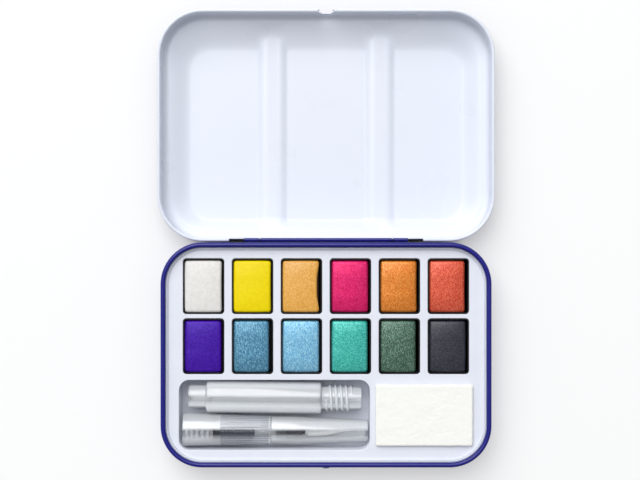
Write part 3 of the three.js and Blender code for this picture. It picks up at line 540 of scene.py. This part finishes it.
finish("moulded_tray", "tray", "tray_plastic", "insert_tray")

# Half pans: twelve small open boxes of black plastic from one mould, dropped into the tray's pockets. Their
# walls narrow a little towards the foot, which is recessed underneath.
PAN_LENGTH, PAN_DEPTH = 14.8, 20.1
PAN_FOOT, PAN_LIP, PAN_FLOOR = 2.8, 11.6, 3.6
PAN_TAPER = 0.7

black_plastic = Finish("black_plastic", Specular_IOR_Level=0.3)
grain = black_plastic.noise(4.0)
black_plastic.set({
    "Base Color": black_plastic.mixed(grain, shade(6, 6, 9), shade(16, 16, 20)),
    "Roughness": 0.28 + grain * 0.14,
})
black_plastic.raised(grain, 0.004)


def take_copy(blank):
    """Takes a copy of a blank, with a mesh of its own, in hand."""
    bpy.ops.object.select_all(action="DESELECT")
    blank.select_set(True)
    bpy.context.view_layer.objects.active = blank
    bpy.ops.object.duplicate()


begin()
plate(PAN_LENGTH - 2 * PAN_TAPER, PAN_DEPTH - 2 * PAN_TAPER, 0.4, z=PAN_FOOT, steps=5)
bpy.ops.mesh.flip_normals()
draw_wall([
    (-PAN_TAPER, PAN_FOOT),
    *arc(-0.6, PAN_FOOT + 0.3, 0.3, -90, 0, 4),
    *arc(-0.1, PAN_LIP - 0.1, 0.1, 0, 90, 3),
    *arc(-0.24, PAN_LIP - 0.12, 0.12, 90, 180, 4),
    (-0.78, PAN_FLOOR + 0.25),
    (-1.0, PAN_FLOOR),
])
bpy.ops.mesh.edge_face_add()
bpy.ops.mesh.select_all(action="SELECT")
bpy.ops.mesh.normals_make_consistent(inside=False)
pick("FACE", lambda place, normal: math.dist(place, (0, 0, PAN_FOOT)) < 0.5)
for share, rise in ((0.87, 0.0), (0.98, 0.3)):
    bpy.ops.mesh.extrude_region_move(TRANSFORM_OT_translate={"value": (0, 0, rise)})
    bpy.ops.transform.resize(value=(share, share, 1), center_override=(0, 0, 0))
bpy.ops.object.mode_set(mode="OBJECT")
pan_blank = bpy.context.object
for number, (x, y) in enumerate(PAN_SPOTS, 1):
    take_copy(pan_blank)
    finish(
        f"pan_{number:02d}", f"pan_{number:02d}", "pan_plastic", f"half_pan_{number:02d}", black_plastic,
        at=(x, y, 0),
    )
bpy.data.objects.remove(pan_blank)

# Paint cakes: twelve blocks of dried paint, poured into the pans. Each has shrunk from its pan's walls in its
# own way, and its top is a little domed and round-edged; some are smooth, most are grained by their flakes.
CAKE_LENGTH, CAKE_DEPTH = 13.86, 19.0
CAKE_FOOT, CAKE_TOP = 3.7, 11.35
CAKE_EDGE, CAKE_CROWN = 0.9, 1.0
# The cakes lie this far to the left and to the front in their pans.
CAKE_SHIFT_X, CAKE_SHIFT_Y = 0.08, 0.1
# For each paint: its darkest, middle and palest tone, its grain and gloss, and how far its right side has
# drawn in all along, and more at its middle.
CAKES = [
    ("white", (226, 223, 218), (231, 228, 223), (234, 231, 227),
     {"lumps": 0.4, "depth": 0.005, "gloss": 0.3}, 0.2, 0.1),
    ("yellow", (239, 212, 0), (241, 216, 0), (243, 219, 0),
     {"lumps": 0.4, "depth": 0.005, "gloss": 0.1}, 0.1, 0.1),
    ("ochre", (218, 152, 56), (230, 168, 72), (238, 184, 98),
     {"lumps": 1.2, "depth": 0.03}, 0.35, 0.75),
    ("magenta", (190, 0, 66), (220, 12, 98), (232, 50, 130),
     {"lumps": 2.4, "depth": 0.06, "stretch": 0.6, "metal": 0.5, "gloss": 0.35}, 0.3, 0.0),
    ("orange", (196, 88, 0), (222, 126, 22), (238, 158, 70),
     {"lumps": 2.3, "depth": 0.08, "stretch": 0.5, "metal": 0.5}, 0.4, 0.15),
    ("coral", (186, 38, 16), (214, 78, 46), (234, 118, 88),
     {"lumps": 2.3, "depth": 0.08, "stretch": 0.5, "metal": 0.5}, 0.75, 0.1),
    ("violet", (46, 0, 132), (56, 0, 152), (86, 30, 186),
     {"lumps": 2.2, "depth": 0.03, "metal": 0.2, "gloss": 0.2}, 0.3, 0.0),
    ("teal", (40, 92, 126), (76, 138, 170), (120, 180, 206),
     {"lumps": 2.0, "depth": 0.09, "stretch": 0.45, "metal": 0.5}, 0.8, 0.0),
    ("sky", (84, 150, 194), (122, 188, 220), (160, 212, 234),
     {"lumps": 1.7, "depth": 0.1, "stretch": 0.45, "metal": 0.45}, 0.35, 0.0),
    ("turquoise", (10, 140, 124), (36, 176, 162), (104, 214, 202),
     {"lumps": 2.2, "depth": 0.06, "stretch": 0.6, "metal": 0.4}, 0.55, 0.0),
    ("green", (34, 64, 48), (64, 98, 80), (116, 150, 132),
     {"lumps": 1.9, "depth": 0.08, "stretch": 0.55, "metal": 0.5}, 0.75, 0.1),
    ("graphite", (24, 26, 36), (38, 40, 50), (66, 68, 80),
     {"lumps": 2.2, "depth": 0.05, "stretch": 0.6, "metal": 0.3}, 0.45, 0.0),
]


def paint(name, dark, tone, pale, lumps, depth, stretch=1.0, metal=0.0, gloss=0.7):
    """A dried paint: its tone broken up by darker and paler grain, of so many lumps to a millimetre, drawn
    out along a slant by the stretch."""
    coat = Finish(
        "paint_" + name, Metallic=metal, Specular_IOR_Level=0.15, Coat_Weight=gloss, Coat_Roughness=0.28,
    )
    across = {"Vector": coat.place(), "Rotation": (0, 0, math.radians(40)), "Scale": (1, stretch, 1)}
    spot = coat.node("Mapping", {}, across)
    fold = coat.noise(lumps, 2.0, 0.5, spot)
    crack = (abs(fold - 0.5) * 10).clamped()
    speck = coat.noise(lumps * 2.8, 3.0, 0.6, spot)
    height = crack * 0.35 + speck * 0.65
    stops = [(0.3, shade(*dark)), (0.54, shade(*tone)), (0.72, shade(*pale))]
    coat.set({
        "Base Color": coat.node("ValToRGB", {"stops": stops}, {"Fac": height}),
        "Roughness": 0.36 + (0.5 - speck) * 0.3,
    })
    coat.raised(height, depth)
    return coat


def push(wanted, move, reach, falloff="SMOOTH"):
    """Pushes the wanted vertices of the piece in hand, and those within reach follow."""
    pick("VERT", wanted)
    bpy.ops.transform.translate(
        value=move, use_proportional_edit=True, proportional_edit_falloff=falloff, proportional_size=reach,
    )


def roughen(lump, depth, direction="NORMAL"):
    """Makes the surface of the piece in hand uneven, in lumps of a size, over a depth in millimetres."""
    bpy.ops.object.modifier_add(type="DISPLACE")
    bumps = bpy.context.object.modifiers[-1]
    bumps.texture = bpy.data.textures.new("lumps", type="CLOUDS")
    bumps.texture.noise_scale = lump
    bumps.texture_coords = "GLOBAL"
    bumps.direction = direction
    bumps.strength = depth
    bpy.ops.object.modifier_apply(modifier=bumps.name)


def begin_block(length, depth, top, margin, corner, cells):
    """Starts a new block from its top, which is narrower than the block by a margin for its round edge: a
    grid whose four corners are cut round, with its rim selected."""
    begin()
    bpy.ops.mesh.select_mode(type="VERT")
    bpy.ops.mesh.primitive_grid_add(
        x_subdivisions=cells[0], y_subdivisions=cells[1], size=1, location=(0, 0, top),
    )
    bpy.ops.transform.resize(value=(length - 2 * margin, depth - 2 * margin, 1), center_override=(0, 0, 0))
    bpy.ops.mesh.flip_normals()
    pick("VERT", lambda place, normal: abs(place.x) > length / 2 - margin - 0.01
         and abs(place.y) > depth / 2 - margin - 0.01)
    bpy.ops.mesh.bevel(offset=corner, segments=3, affect="VERTICES")
    pick("EDGE", lambda place, edge: len(edge.link_faces) == 1)


begin_block(CAKE_LENGTH, CAKE_DEPTH, CAKE_TOP, CAKE_EDGE, 0.14, (36, 50))
draw_wall([
    *arc(-CAKE_EDGE, CAKE_TOP - CAKE_EDGE, CAKE_EDGE, 90, 0, 6),
    (-0.14, 9.5),
    (-0.5, 3.9),
    (-0.64, CAKE_FOOT),
])
bpy.ops.mesh.edge_face_add()
bpy.ops.mesh.select_all(action="SELECT")
bpy.ops.mesh.normals_make_consistent(inside=False)
push(lambda place, normal: abs(place.x) < 0.3 and abs(place.y) < 3 and place.z > CAKE_TOP - 0.1,
     (0, 0, CAKE_CROWN), 9.5, falloff="INVERSE_SQUARE")
bpy.ops.object.mode_set(mode="OBJECT")
cake_blank = bpy.context.object
for number, ((x, y), cake) in enumerate(zip(PAN_SPOTS, CAKES), 1):
    colour, dark, tone, pale, grain, drawn_in, bowed_in = cake
    take_copy(cake_blank)
    # The lumps are taken at the cake's own place in the box, so that no two cakes are alike.
    bpy.context.object.location = (x, y, 0)
    roughen(2.4, 0.08, "Z")
    bpy.context.object.location = (0, 0, 0)
    bpy.ops.object.mode_set(mode="EDIT")
    push(lambda place, normal: place.x > 6.25, (-drawn_in, 0, 0), 3)
    push(lambda place, normal: place.x > 6.2 - drawn_in and abs(place.y) < 2.5, (-bowed_in, 0, 0), 7)
    finish(
        f"cake_{number:02d}_{colour}", f"pan_{number:02d}", f"paint_{colour}", f"paint_{number:02d}_{colour}",
        paint(colour, dark, tone, pale, **grain), smooth=50, at=(x - CAKE_SHIFT_X, y - CAKE_SHIFT_Y, 0),
    )
bpy.data.objects.remove(cake_blank)

# Sponge: a block of fine white foam pressed into its recess. Its cut top bulges over the recess's edge, and
# its sides are a little uneven.
SPONGE_LENGTH, SPONGE_DEPTH = 35.8, 22.7
SPONGE_TOP, SPONGE_EDGE = 13.22, 0.7

foam = Finish("foam", Roughness=0.95, Specular_IOR_Level=0.1)
pore = foam.noise(2.6, 3.0, 0.6)
foam.set({"Base Color": foam.mixed(pore, shade(248, 248, 242), shade(253, 253, 248))})
foam.raised(pore, 0.05)

begin_block(SPONGE_LENGTH, SPONGE_DEPTH, SPONGE_TOP, SPONGE_EDGE, 0.27, (110, 68))
draw_wall([
    (-SPONGE_EDGE, SPONGE_TOP), (-0.45, 13.15), (-0.24, 13.0), (-0.1, 12.75), (-0.05, 12.45), (-0.12, 12.2),
    (-0.35, 12.08), (-0.9, 12.05), (-0.9, 11.4), (-0.9, 10), (-0.9, 8), (-0.9, 6), (-0.9, 4.4), (-0.92, 3.7),
])
bpy.ops.mesh.edge_face_add()
bpy.ops.mesh.select_all(action="SELECT")
bpy.ops.mesh.normals_make_consistent(inside=False)
bpy.ops.object.mode_set(mode="OBJECT")
roughen(4.0, 0.22)
roughen(0.9, 0.16)
sponge = finish("sponge_block", "sponge", "foam", "sponge", foam, smooth=80, at=(*SPONGE_MIDDLE, 0))

# Water tank: the brush's soft frosted reservoir, blown in one piece with a closed tail, a threaded neck and
# an open mouth. It lies in the long well, a little askew.
TANK_TAIL, TANK_STEP, TANK_MOUTH = 6.8, 49.2, 64.0
TANK_RADIUS, TAIL_RADIUS, NECK_RADIUS = 5.95, 4.2, 4.2
TANK_BORE, TAIL_BORE, NECK_BORE = 5.15, 3.5, 3.3
THREAD_PITCH, THREAD_TURNS, THREAD_HALF_WIDTH = 1.95, 5, 0.56
THREAD_CREST, THREAD_START = 5.05, TANK_STEP + 1.6
TANK_PLACE = (-50.9, -15.725, 7.2)
TANK_TURN = (0, 0, math.radians(-0.7))
# Where the tank's middle line would cross X 0, in Y and Z, and how far it moves in both along X.
TANK_LINE = {"axis": (-16.35, 7.2), "slant": (-0.0122, 0.0)}


def moulded_clear(name, clear, milky, painted_light_milk, axis, slant, tone=(246, 250, 255)):
    """A see-through plastic for a tube along X, clear along its top. Its milkiness is painted light: milky
    below and in front as painted brightness of light gathered in the wall, and milky in a band just behind
    the top and at the back as a painted highlight. How milky each painted part is, is given in front, just
    behind the top, at the back."""
    coat = Finish(name, Specular_IOR_Level=0.2, Coat_Weight=1.0, Coat_IOR=2.0, Coat_Roughness=0.1)
    along, across, up = (
        coat.node("SeparateXYZ", {}, {"Vector": coat.place()}, output=k) for k in (0, 1, 2)
    )
    # Painted light: the lower half and the front are made milky as painted brightness, the band behind the
    # top and the back as a painted highlight.
    high = up * 1000 - along * (slant[1] * 1000) - axis[1]
    behind = across * 1000 - along * (slant[0] * 1000) - axis[0]
    low = (0.4 - high * 0.6).clamped()
    painted_front_glow = ((-1.0 - behind) * 0.5).clamped() * painted_light_milk[0]
    painted_highlight_band = ((behind - 0.2) * 0.8).clamped() * painted_light_milk[1]
    painted_highlight_back = ((behind - 3.3) * 1.2).clamped() * (painted_light_milk[2] - painted_light_milk[1])
    share = low.or_more(painted_front_glow.or_more(painted_highlight_band + painted_highlight_back))
    cloud = coat.noise(0.5)
    coat.set({
        "Base Color": coat.mixed(cloud, shade(*(value * 0.97 for value in tone)), shade(*tone)),
        "Roughness": 0.3 + cloud * 0.1,
        "Alpha": clear + share * (milky - clear),
    })
    # Round the tube, the body under the coat is lit as if nearly flat, as cloudy plastic is from within.
    outwards = coat.node("TexCoord", output="Normal")
    flatter = coat.node("VectorMath", {"operation": "MULTIPLY"}, {0: outwards, 1: (1, 0.05, 1)})
    flatter = coat.node("VectorMath", {"operation": "NORMALIZE"}, {0: flatter})
    coat.raised(coat.noise(1.2), 0.008, flatter)
    return coat


def eased(points, steps=6):
    """A profile whose corners are rounded: each point gives its place along the axis, its distance from it,
    and, where it is rounded, the radius."""
    smooth = []
    for k, point in enumerate(points):
        if len(point) == 2:
            smooth.append(point)
            continue
        corner = Vector(point[:2])
        back = (Vector(points[k - 1][:2]) - corner).normalized()
        ahead = (Vector(points[k + 1][:2]) - corner).normalized()
        half = back.angle(ahead) / 2
        centre = corner + (back + ahead).normalized() * (point[2] / math.sin(half))
        start = (corner + back * (point[2] / math.tan(half)) - centre).normalized()
        end = (corner + ahead * (point[2] / math.tan(half)) - centre).normalized()
        smooth += [tuple(centre + start.slerp(end, j / steps) * point[2]) for j in range(steps + 1)]
    return smooth


def turned(points, steps=96):
    """Turns a new piece about the X axis, from its profile, and leaves it in hand."""
    begin()
    bpy.ops.mesh.select_mode(type="VERT")
    bpy.ops.mesh.primitive_plane_add(size=1, location=(points[0][0], 0, points[0][1]))
    bpy.ops.mesh.merge(type="CENTER")
    for (along, out), (next_along, next_out) in zip(points, points[1:]):
        move = (next_along - along, 0, next_out - out)
        bpy.ops.mesh.extrude_vertices_move(TRANSFORM_OT_translate={"value": move})
    bpy.ops.mesh.select_all(action="SELECT")
    bpy.ops.mesh.spin(steps=steps, angle=2 * math.pi, center=(0, 0, 0), axis=(1, 0, 0))
    bpy.ops.mesh.select_all(action="SELECT")
    bpy.ops.mesh.remove_doubles(threshold=0.001)
    bpy.ops.mesh.normals_make_consistent(inside=False)
    return bpy.context.object


def wound(root, crest, start, coat):
    """Winds a coated ridge about the X axis, round-crested, run out at its ends, and leaves it in hand."""
    begin()
    middle = (start, 0, root)
    bpy.ops.mesh.primitive_circle_add(vertices=14, radius=1, location=middle, rotation=(math.pi / 2, 0, 0))
    bpy.ops.transform.resize(value=(THREAD_HALF_WIDTH, 1, crest - root), center_override=middle)
    bpy.ops.object.mode_set(mode="OBJECT")
    bpy.ops.object.modifier_add(type="SCREW")
    turns = bpy.context.object.modifiers[-1]
    turns.axis = "X"
    turns.screw_offset = THREAD_PITCH
    turns.iterations = THREAD_TURNS
    turns.steps = turns.render_steps = 40
    bpy.ops.object.modifier_apply(modifier=turns.name)
    bpy.ops.object.mode_set(mode="EDIT")
    bpy.ops.mesh.select_all(action="SELECT")
    bpy.ops.mesh.fill_holes(sides=0)
    bpy.ops.mesh.select_all(action="SELECT")
    bpy.ops.mesh.normals_make_consistent(inside=False)
    bpy.ops.mesh.select_mode(type="VERT")
    for end in (start, start + THREAD_TURNS * THREAD_PITCH):
        pick("VERT", lambda place, normal: abs(place.x - end) < 0.6 and abs(place.y) < 0.01 and place.z > 0)
        bpy.ops.transform.resize(
            value=(1, 0.8, 0.8), center_override=(end, 0, 0), use_proportional_edit=True,
            proportional_edit_falloff="SMOOTH", proportional_size=7, use_proportional_connected=True,
        )
    bpy.ops.object.mode_set(mode="OBJECT")
    bpy.context.object.data.materials.append(coat.material)
    return bpy.context.object


def combine(piece, other, operation):
    """Joins another solid to a piece, or cuts it away, and leaves the piece in hand."""
    bpy.ops.object.select_all(action="DESELECT")
    piece.select_set(True)
    bpy.context.view_layer.objects.active = piece
    bpy.ops.object.modifier_add(type="BOOLEAN")
    joint = piece.modifiers[-1]
    joint.operation = operation
    joint.object = other
    joint.material_mode = "TRANSFER"
    bpy.ops.object.modifier_apply(modifier=joint.name)
    bpy.data.objects.remove(other)


def outward(place, normal):
    """How far a face of a turned piece looks away from the X axis, from -1 to 1."""
    return (normal.y * place.y + normal.z * place.z) / max(math.hypot(place.y, place.z), 0.001)


def coat_turned(outside, inside):
    """Coats the turned piece in hand: one coat outside, another on the faces that look towards its axis."""
    bpy.context.object.data.materials.append(outside.material)
    bpy.context.object.data.materials.append(inside.material)
    recoat(1, lambda place, normal: outward(place, normal) < -0.3)


# The tank's milkier lower half, front and back band are painted light, over its own frosted plastic.
frosted_plastic = moulded_clear("frosted_plastic", 0.25, 0.97, painted_light_milk=(1.1, 0.55, 0.85), **TANK_LINE)
frosted_inside = moulded_clear("frosted_inside", 0.15, 0.8, painted_light_milk=(0.3, 0.1, 0.2), **TANK_LINE)
frosted_ridge = moulded_clear("frosted_ridge", 0.8, 0.9, painted_light_milk=(1.0, 0.8, 0.8), **TANK_LINE)

tank = turned(eased([
    (0, 0), (0, TAIL_RADIUS, 1.0), (TANK_TAIL, TAIL_RADIUS, 0.4), (TANK_TAIL, TANK_RADIUS, 0.9),
    (TANK_STEP, TANK_RADIUS, 0.8), (TANK_STEP, NECK_RADIUS, 0.4), (TANK_MOUTH, NECK_RADIUS, 0.3),
    (TANK_MOUTH, NECK_BORE, 0.3), (TANK_STEP + 0.2, NECK_BORE, 0.5), (TANK_STEP - 0.9, TANK_BORE, 0.6),
    (8.5, TANK_BORE, 0.6), (7.5, TAIL_BORE, 0.4), (0.7, TAIL_BORE, 1.0), (0.7, 0),
]))
coat_turned(frosted_plastic, frosted_inside)
bpy.ops.object.mode_set(mode="OBJECT")
combine(tank, wound(NECK_RADIUS, THREAD_CREST, THREAD_START, frosted_ridge), "UNION")
finish("water_tank_shell", "tank", "frosted_plastic", "water_tank", at=TANK_PLACE, turn=TANK_TURN)

# Brush body: a clear plastic barrel. The tank screws into its socket, fine ribs along it are its grip, and
# the cap pushes onto its spigot.
SOCKET_DEPTH, SOCKET_BORE = 11.9, 4.45
SOCKET_CREST, SOCKET_START = 5.3, 1.4
RIBS_START, RIBS_END, RIB_HEIGHT = 13.8, 31.7, 0.16
BARREL_STEPS, RIB_STEPS = 144, 4
# Everything on the brush head lies on one line: the barrel's, tilted down towards the cap and a little askew.
IN_BRUSH = {
    "at": (-52.75, -27.975, 7.45),
    "turn": (0, math.atan2(0.95, 41.55), math.radians(-0.55)),
}
# The same line as the tank's is given, for the finishes.
BRUSH_LINE = {"axis": (-28.48, 6.244), "slant": (-0.0096, -0.02286)}

# The barrel's and cap's milky lower half, front and band behind the top are painted light.
clear_plastic = moulded_clear("clear_plastic", 0.02, 0.85, painted_light_milk=(0.62, 0.9, 0.7), **BRUSH_LINE)
clear_inside = moulded_clear("clear_inside", 0.02, 0.6, painted_light_milk=(0.1, 0.05, 0.1), **BRUSH_LINE)
clear_ridge = moulded_clear("clear_ridge", 0.25, 0.7, painted_light_milk=(0.75, 0.9, 0.7), **BRUSH_LINE)
# The rib flanks are coated a darker grey: painted shade lines along the grip.
clear_flank_painted_shade = moulded_clear(
    "clear_flank_painted_shade", 0.16, 0.6, painted_light_milk=(0.6, 1.0, 0.9), tone=(166, 172, 188), **BRUSH_LINE,
)


def on_grip(place):
    """Whether a place is on the ribbed part of the barrel's outside."""
    return RIBS_START < place.x < RIBS_END and math.hypot(place.y, place.z) > 5


# From the socket's mouth along the outside to the spigot's end, and back through the bore and the socket.
barrel = turned(eased([
    (6, SOCKET_BORE), (0, SOCKET_BORE, 0.15), (0, 6.1, 0.55), (SOCKET_DEPTH, 5.75), (13.6, 5.7), (13.9, 5.69),
    (18.4, 5.58), (22.9, 5.46), (27.4, 5.35), (31.6, 5.23), (31.9, 5.22), (32.4, 5.2, 0.2), (32.4, 4.4, 0.15),
    (38.6, 4.25, 0.3), (38.6, 3.0), (34.25, 3.0), (34.25, 1.6), (26.4, 1.6), (25.5, 4.2), (SOCKET_DEPTH, 4.2),
    (SOCKET_DEPTH, SOCKET_BORE), (6, SOCKET_BORE),
]), steps=BARREL_STEPS)
pick("VERT", lambda place, normal: on_grip(place)
     and round(math.atan2(place.z, place.y) / math.tau * BARREL_STEPS) % RIB_STEPS < RIB_STEPS / 2)
bpy.ops.transform.shrink_fatten(value=RIB_HEIGHT)
coat_turned(clear_plastic, clear_inside)
barrel.data.materials.append(clear_flank_painted_shade.material)
recoat(2, lambda place, normal: on_grip(place) and abs(outward(place, normal)) < 0.93)
bpy.ops.object.mode_set(mode="OBJECT")
combine(barrel, wound(SOCKET_BORE, SOCKET_CREST, SOCKET_START, clear_ridge), "DIFFERENCE")
finish("brush_barrel", "brush", "clear_plastic", "brush_body", **IN_BRUSH)

# Seal ring: a moulded ring of black rubber that keeps the water in. It lies at the bottom of the socket, and
# the tank's mouth is screwed against it.
black_rubber = Finish("black_rubber", Specular_IOR_Level=0.3)
dust = black_rubber.noise(3.0)
black_rubber.set({
    "Base Color": black_rubber.mixed(dust, shade(14, 14, 20), shade(30, 30, 38)),
    "Roughness": 0.55 + dust * 0.2,
})
turned(eased([
    (11.5, 3.2), (11.12, 3.2, 0.25), (11.12, 4.3, 0.3), (11.88, 4.3, 0.3), (11.88, 3.2, 0.25), (11.5, 3.2),
]), steps=64)
finish("rubber_seal", "brush", "seal_rubber", "seal_ring", black_rubber, **IN_BRUSH)

# Drip regulator: a ringed plug of dark plastic in two halves, which lets water through slowly. It is pressed
# into the barrel's bore behind the seal.
PLUG_START, PLUG_RADIUS, RING_PITCH, RING_DEPTH = 12.05, 4.05, 1.2, 0.25

navy_plastic = Finish("navy_plastic", Specular_IOR_Level=0.4)
streak = navy_plastic.noise(1.5)
navy_plastic.set({
    "Base Color": navy_plastic.mixed(streak, shade(4, 6, 26), shade(20, 26, 52)),
    "Roughness": 0.35 + streak * 0.15,
})
navy_plastic.raised(streak, 0.01)

groove_radius = PLUG_RADIUS - RING_DEPTH
groove = ((0, PLUG_RADIUS), (0.08, groove_radius), (0.32, groove_radius), (0.4, PLUG_RADIUS))
grooves = [(PLUG_START + RING_PITCH * k + along, out) for k in range(1, 6) for along, out in groove]
turned(eased([
    (PLUG_START, 0), (PLUG_START, PLUG_RADIUS, 0.3), *grooves, (19.3, PLUG_RADIUS, 0.2), (19.3, 0),
]), steps=64)
finish("regulator_plug", "brush", "dark_plastic", "drip_regulator", navy_plastic, **IN_BRUSH)
turned(eased([
    (19.45, 0), (19.45, PLUG_RADIUS, 0.2), (25.2, PLUG_RADIUS, 0.3), (26.1, 1.6, 0.3), (26.1, 0.5, 0.1),
    (25.0, 0.45), (25.0, 0),
]), steps=64)
finish("regulator_front", "brush", "dark_plastic", "regulator_nose", navy_plastic, **IN_BRUSH)

# Ferrule: a flanged sleeve of clear plastic. It is pressed into the barrel's spigot, and holds the feed and
# the bristles.
turned(eased([
    (36, 2.2), (34.4, 2.2, 0.1), (34.4, 2.85, 0.15), (38.75, 2.85), (38.75, 3.3, 0.12), (39.25, 3.3, 0.12),
    (39.25, 2.85), (46.1, 2.85, 0.15), (46.1, 2.2, 0.1), (36, 2.2),
]), steps=64)
finish("clear_ferrule", "brush", "clear_plastic", "ferrule", clear_plastic, **IN_BRUSH)

# Feed: a cone of dark plastic that leads water from the regulator to the middle of the bristles. It is
# pressed into the ferrule.
turned(eased([
    (38.3, 0), (38.3, 2.0, 0.2), (44.0, 2.0, 0.3), (45.05, 0.8), (46.1, 0.48), (47.4, 0.08), (47.5, 0),
]), steps=48)
finish("feed_cone", "brush", "dark_plastic", "feed_tip", navy_plastic, **IN_BRUSH)

# Bristles: some hundreds of white nylon strands, set in a disc round the feed, fuller at the belly and drawn
# in to a point. Each circle of strands is a little shorter than the one inside it.
CIRCLES = 9
STRAND_ROOT, STRAND_LENGTH, STRAND_SPACING = 45.5, 17.8, 0.17
INNER_CIRCLE, OUTER_CIRCLE = 0.95, 2.0

nylon = Finish("nylon", Specular_IOR_Level=0.5)
gloss = nylon.noise(3.0)
nylon.set({
    "Base Color": nylon.mixed(gloss, shade(251, 252, 254), shade(255, 255, 255)),
    "Roughness": 0.35 + gloss * 0.2,
})

turned(eased([(45.2, 0.92), (45.2, 2.12, 0.1), (45.8, 2.12, 0.1), (45.8, 0.92), (45.2, 0.92)]), steps=48)
for circle in range(CIRCLES):
    share = circle / (CIRCLES - 1)
    root = INNER_CIRCLE + (OUTER_CIRCLE - INNER_CIRCLE) * share
    count = int(math.tau * root / STRAND_SPACING)
    length = STRAND_LENGTH * (1 - 0.15 * share)
    # How far along its strand each station is, how far from the axis, and how thick the strand is there.
    stations = [
        (0.0, root, 0.06), (0.22, 0.75 + 1.3 * share, 0.075), (0.5, 0.3 + 1.42 * share, 0.07),
        (0.8, 0.12 + 0.75 * share, 0.045), (1.0, 0.04 + 0.24 * share, 0.008),
    ]
    bpy.ops.mesh.select_all(action="DESELECT")
    bpy.ops.mesh.select_mode(type="VERT")
    bpy.ops.mesh.primitive_circle_add(
        vertices=4, radius=stations[0][2], fill_type="NGON", location=(STRAND_ROOT, 0, root),
        rotation=(0, math.pi / 2, 0),
    )
    for (along, out, thick), (next_along, next_out, next_thick) in zip(stations, stations[1:]):
        move = ((next_along - along) * length, 0, next_out - out)
        bpy.ops.mesh.extrude_region_move(TRANSFORM_OT_translate={"value": move})
        middle = (STRAND_ROOT + next_along * length, 0, next_out)
        bpy.ops.transform.resize(value=(1, next_thick / thick, next_thick / thick), center_override=middle)
    bpy.ops.mesh.select_linked()
    bpy.ops.transform.rotate(value=math.tau * 0.38 * circle, orient_axis="X", center_override=(0, 0, 0))
    bpy.ops.mesh.spin(
        steps=count - 1, dupli=True, angle=math.tau * (count - 1) / count, center=(0, 0, 0), axis=(1, 0, 0),
    )
bpy.ops.mesh.select_all(action="SELECT")
bpy.ops.mesh.normals_make_consistent(inside=False)
finish("nylon_bristles", "brush", "bristle_nylon", "bristles", nylon, **IN_BRUSH)

# Cap: a slightly tapered tube of clear plastic with a closed, rounded tip, moulded in one. It is pushed onto
# the barrel's spigot.
turned(eased([
    (67.55, 0), (67.55, 3.27, 0.5), (42.6, 4.27, 3.0), (32.55, 4.55), (32.55, 5.15, 0.2), (42.15, 5.15, 3.0),
    (68.3, 4.0, 0.6), (68.3, 0),
]))
coat_turned(clear_plastic, clear_inside)
finish("clear_cap", "brush", "clear_plastic", "brush_cap", **IN_BRUSH)

# Floor and light: a white sheet under the box, a soft box overhead and to the back left, and a plain pale
# room. The sheet has a faint glow of its own where it is seen; ambient occlusion takes the glow away in the
# box's narrow gaps and close beside its walls, a painted shade.
GLOW_SHARE = 0.42

bpy.ops.object.select_all(action="DESELECT")
bpy.ops.mesh.primitive_plane_add(size=6, location=(0, 0, -0.00002))
floor = bpy.context.object
floor.name = "floor"
paper = Finish("paper", Roughness=0.9, Specular_IOR_Level=0.0, Base_Color=shade(250, 250, 250))
camera_ray, glossy_ray, clear_ray = (paper.node("LightPath", output=k) for k in (0, 3, 6))
seen = camera_ray + glossy_ray + clear_ray
glow = paper.node("Emission", {}, {"Strength": 1.0})
# Ambient occlusion darkens the glow in gaps and beside walls: painted shade.
glow_gate_painted_shade = (paper.node("AmbientOcclusion", {}, {"Distance": 0.015}, output=1) * 6 - 0.6).clamped()
lit = Lead(paper, paper.shader.outputs[0])
both = paper.node("MixShader", {}, {0: seen * glow_gate_painted_shade * GLOW_SHARE, 1: lit, 2: glow})
paper.set({"Surface": both}, paper.nodes["Material Output"])
floor.data.materials.append(paper.material)

bpy.ops.object.light_add(type="AREA", location=(-0.42, 0.98, 1.4))
soft_box = bpy.context.object
soft_box.data.shape = "RECTANGLE"
soft_box.data.size, soft_box.data.size_y = 1.35, 1.9
soft_box.data.energy = 25.5
soft_box.rotation_euler = (Vector((0, 0.04, 0)) - soft_box.location).to_track_quat("-Z", "Y").to_euler()

# The room's light goes with the direction: dim low down and in front, and brightest towards the soft box.
room = bpy.data.worlds.new("room")
bpy.context.scene.world = room
room.use_nodes = True
nodes = room.node_tree.nodes
background = nodes["Background"]
background.inputs["Strength"].default_value = 0.575
gaze = nodes.new("ShaderNodeTexCoord")
towards = nodes.new("ShaderNodeVectorMath")
towards.operation = "DOT_PRODUCT"
towards.inputs[1].default_value = (-0.1, 0.5, 0.86)
sky = nodes.new("ShaderNodeValToRGB")
sky.color_ramp.elements[0].color = (0.22, 0.22, 0.22, 1)
sky.color_ramp.elements[1].color = (1.6, 1.63, 1.66, 1)
for place, strength in ((0.35, 0.65), (0.8, 0.95)):
    sky.color_ramp.elements.new(place).color = (0.96 * strength, 0.98 * strength, strength, 1)
room.node_tree.links.new(gaze.outputs["Generated"], towards.inputs[0])
room.node_tree.links.new(towards.outputs["Value"], sky.inputs["Fac"])
room.node_tree.links.new(sky.outputs["Color"], background.inputs["Color"])
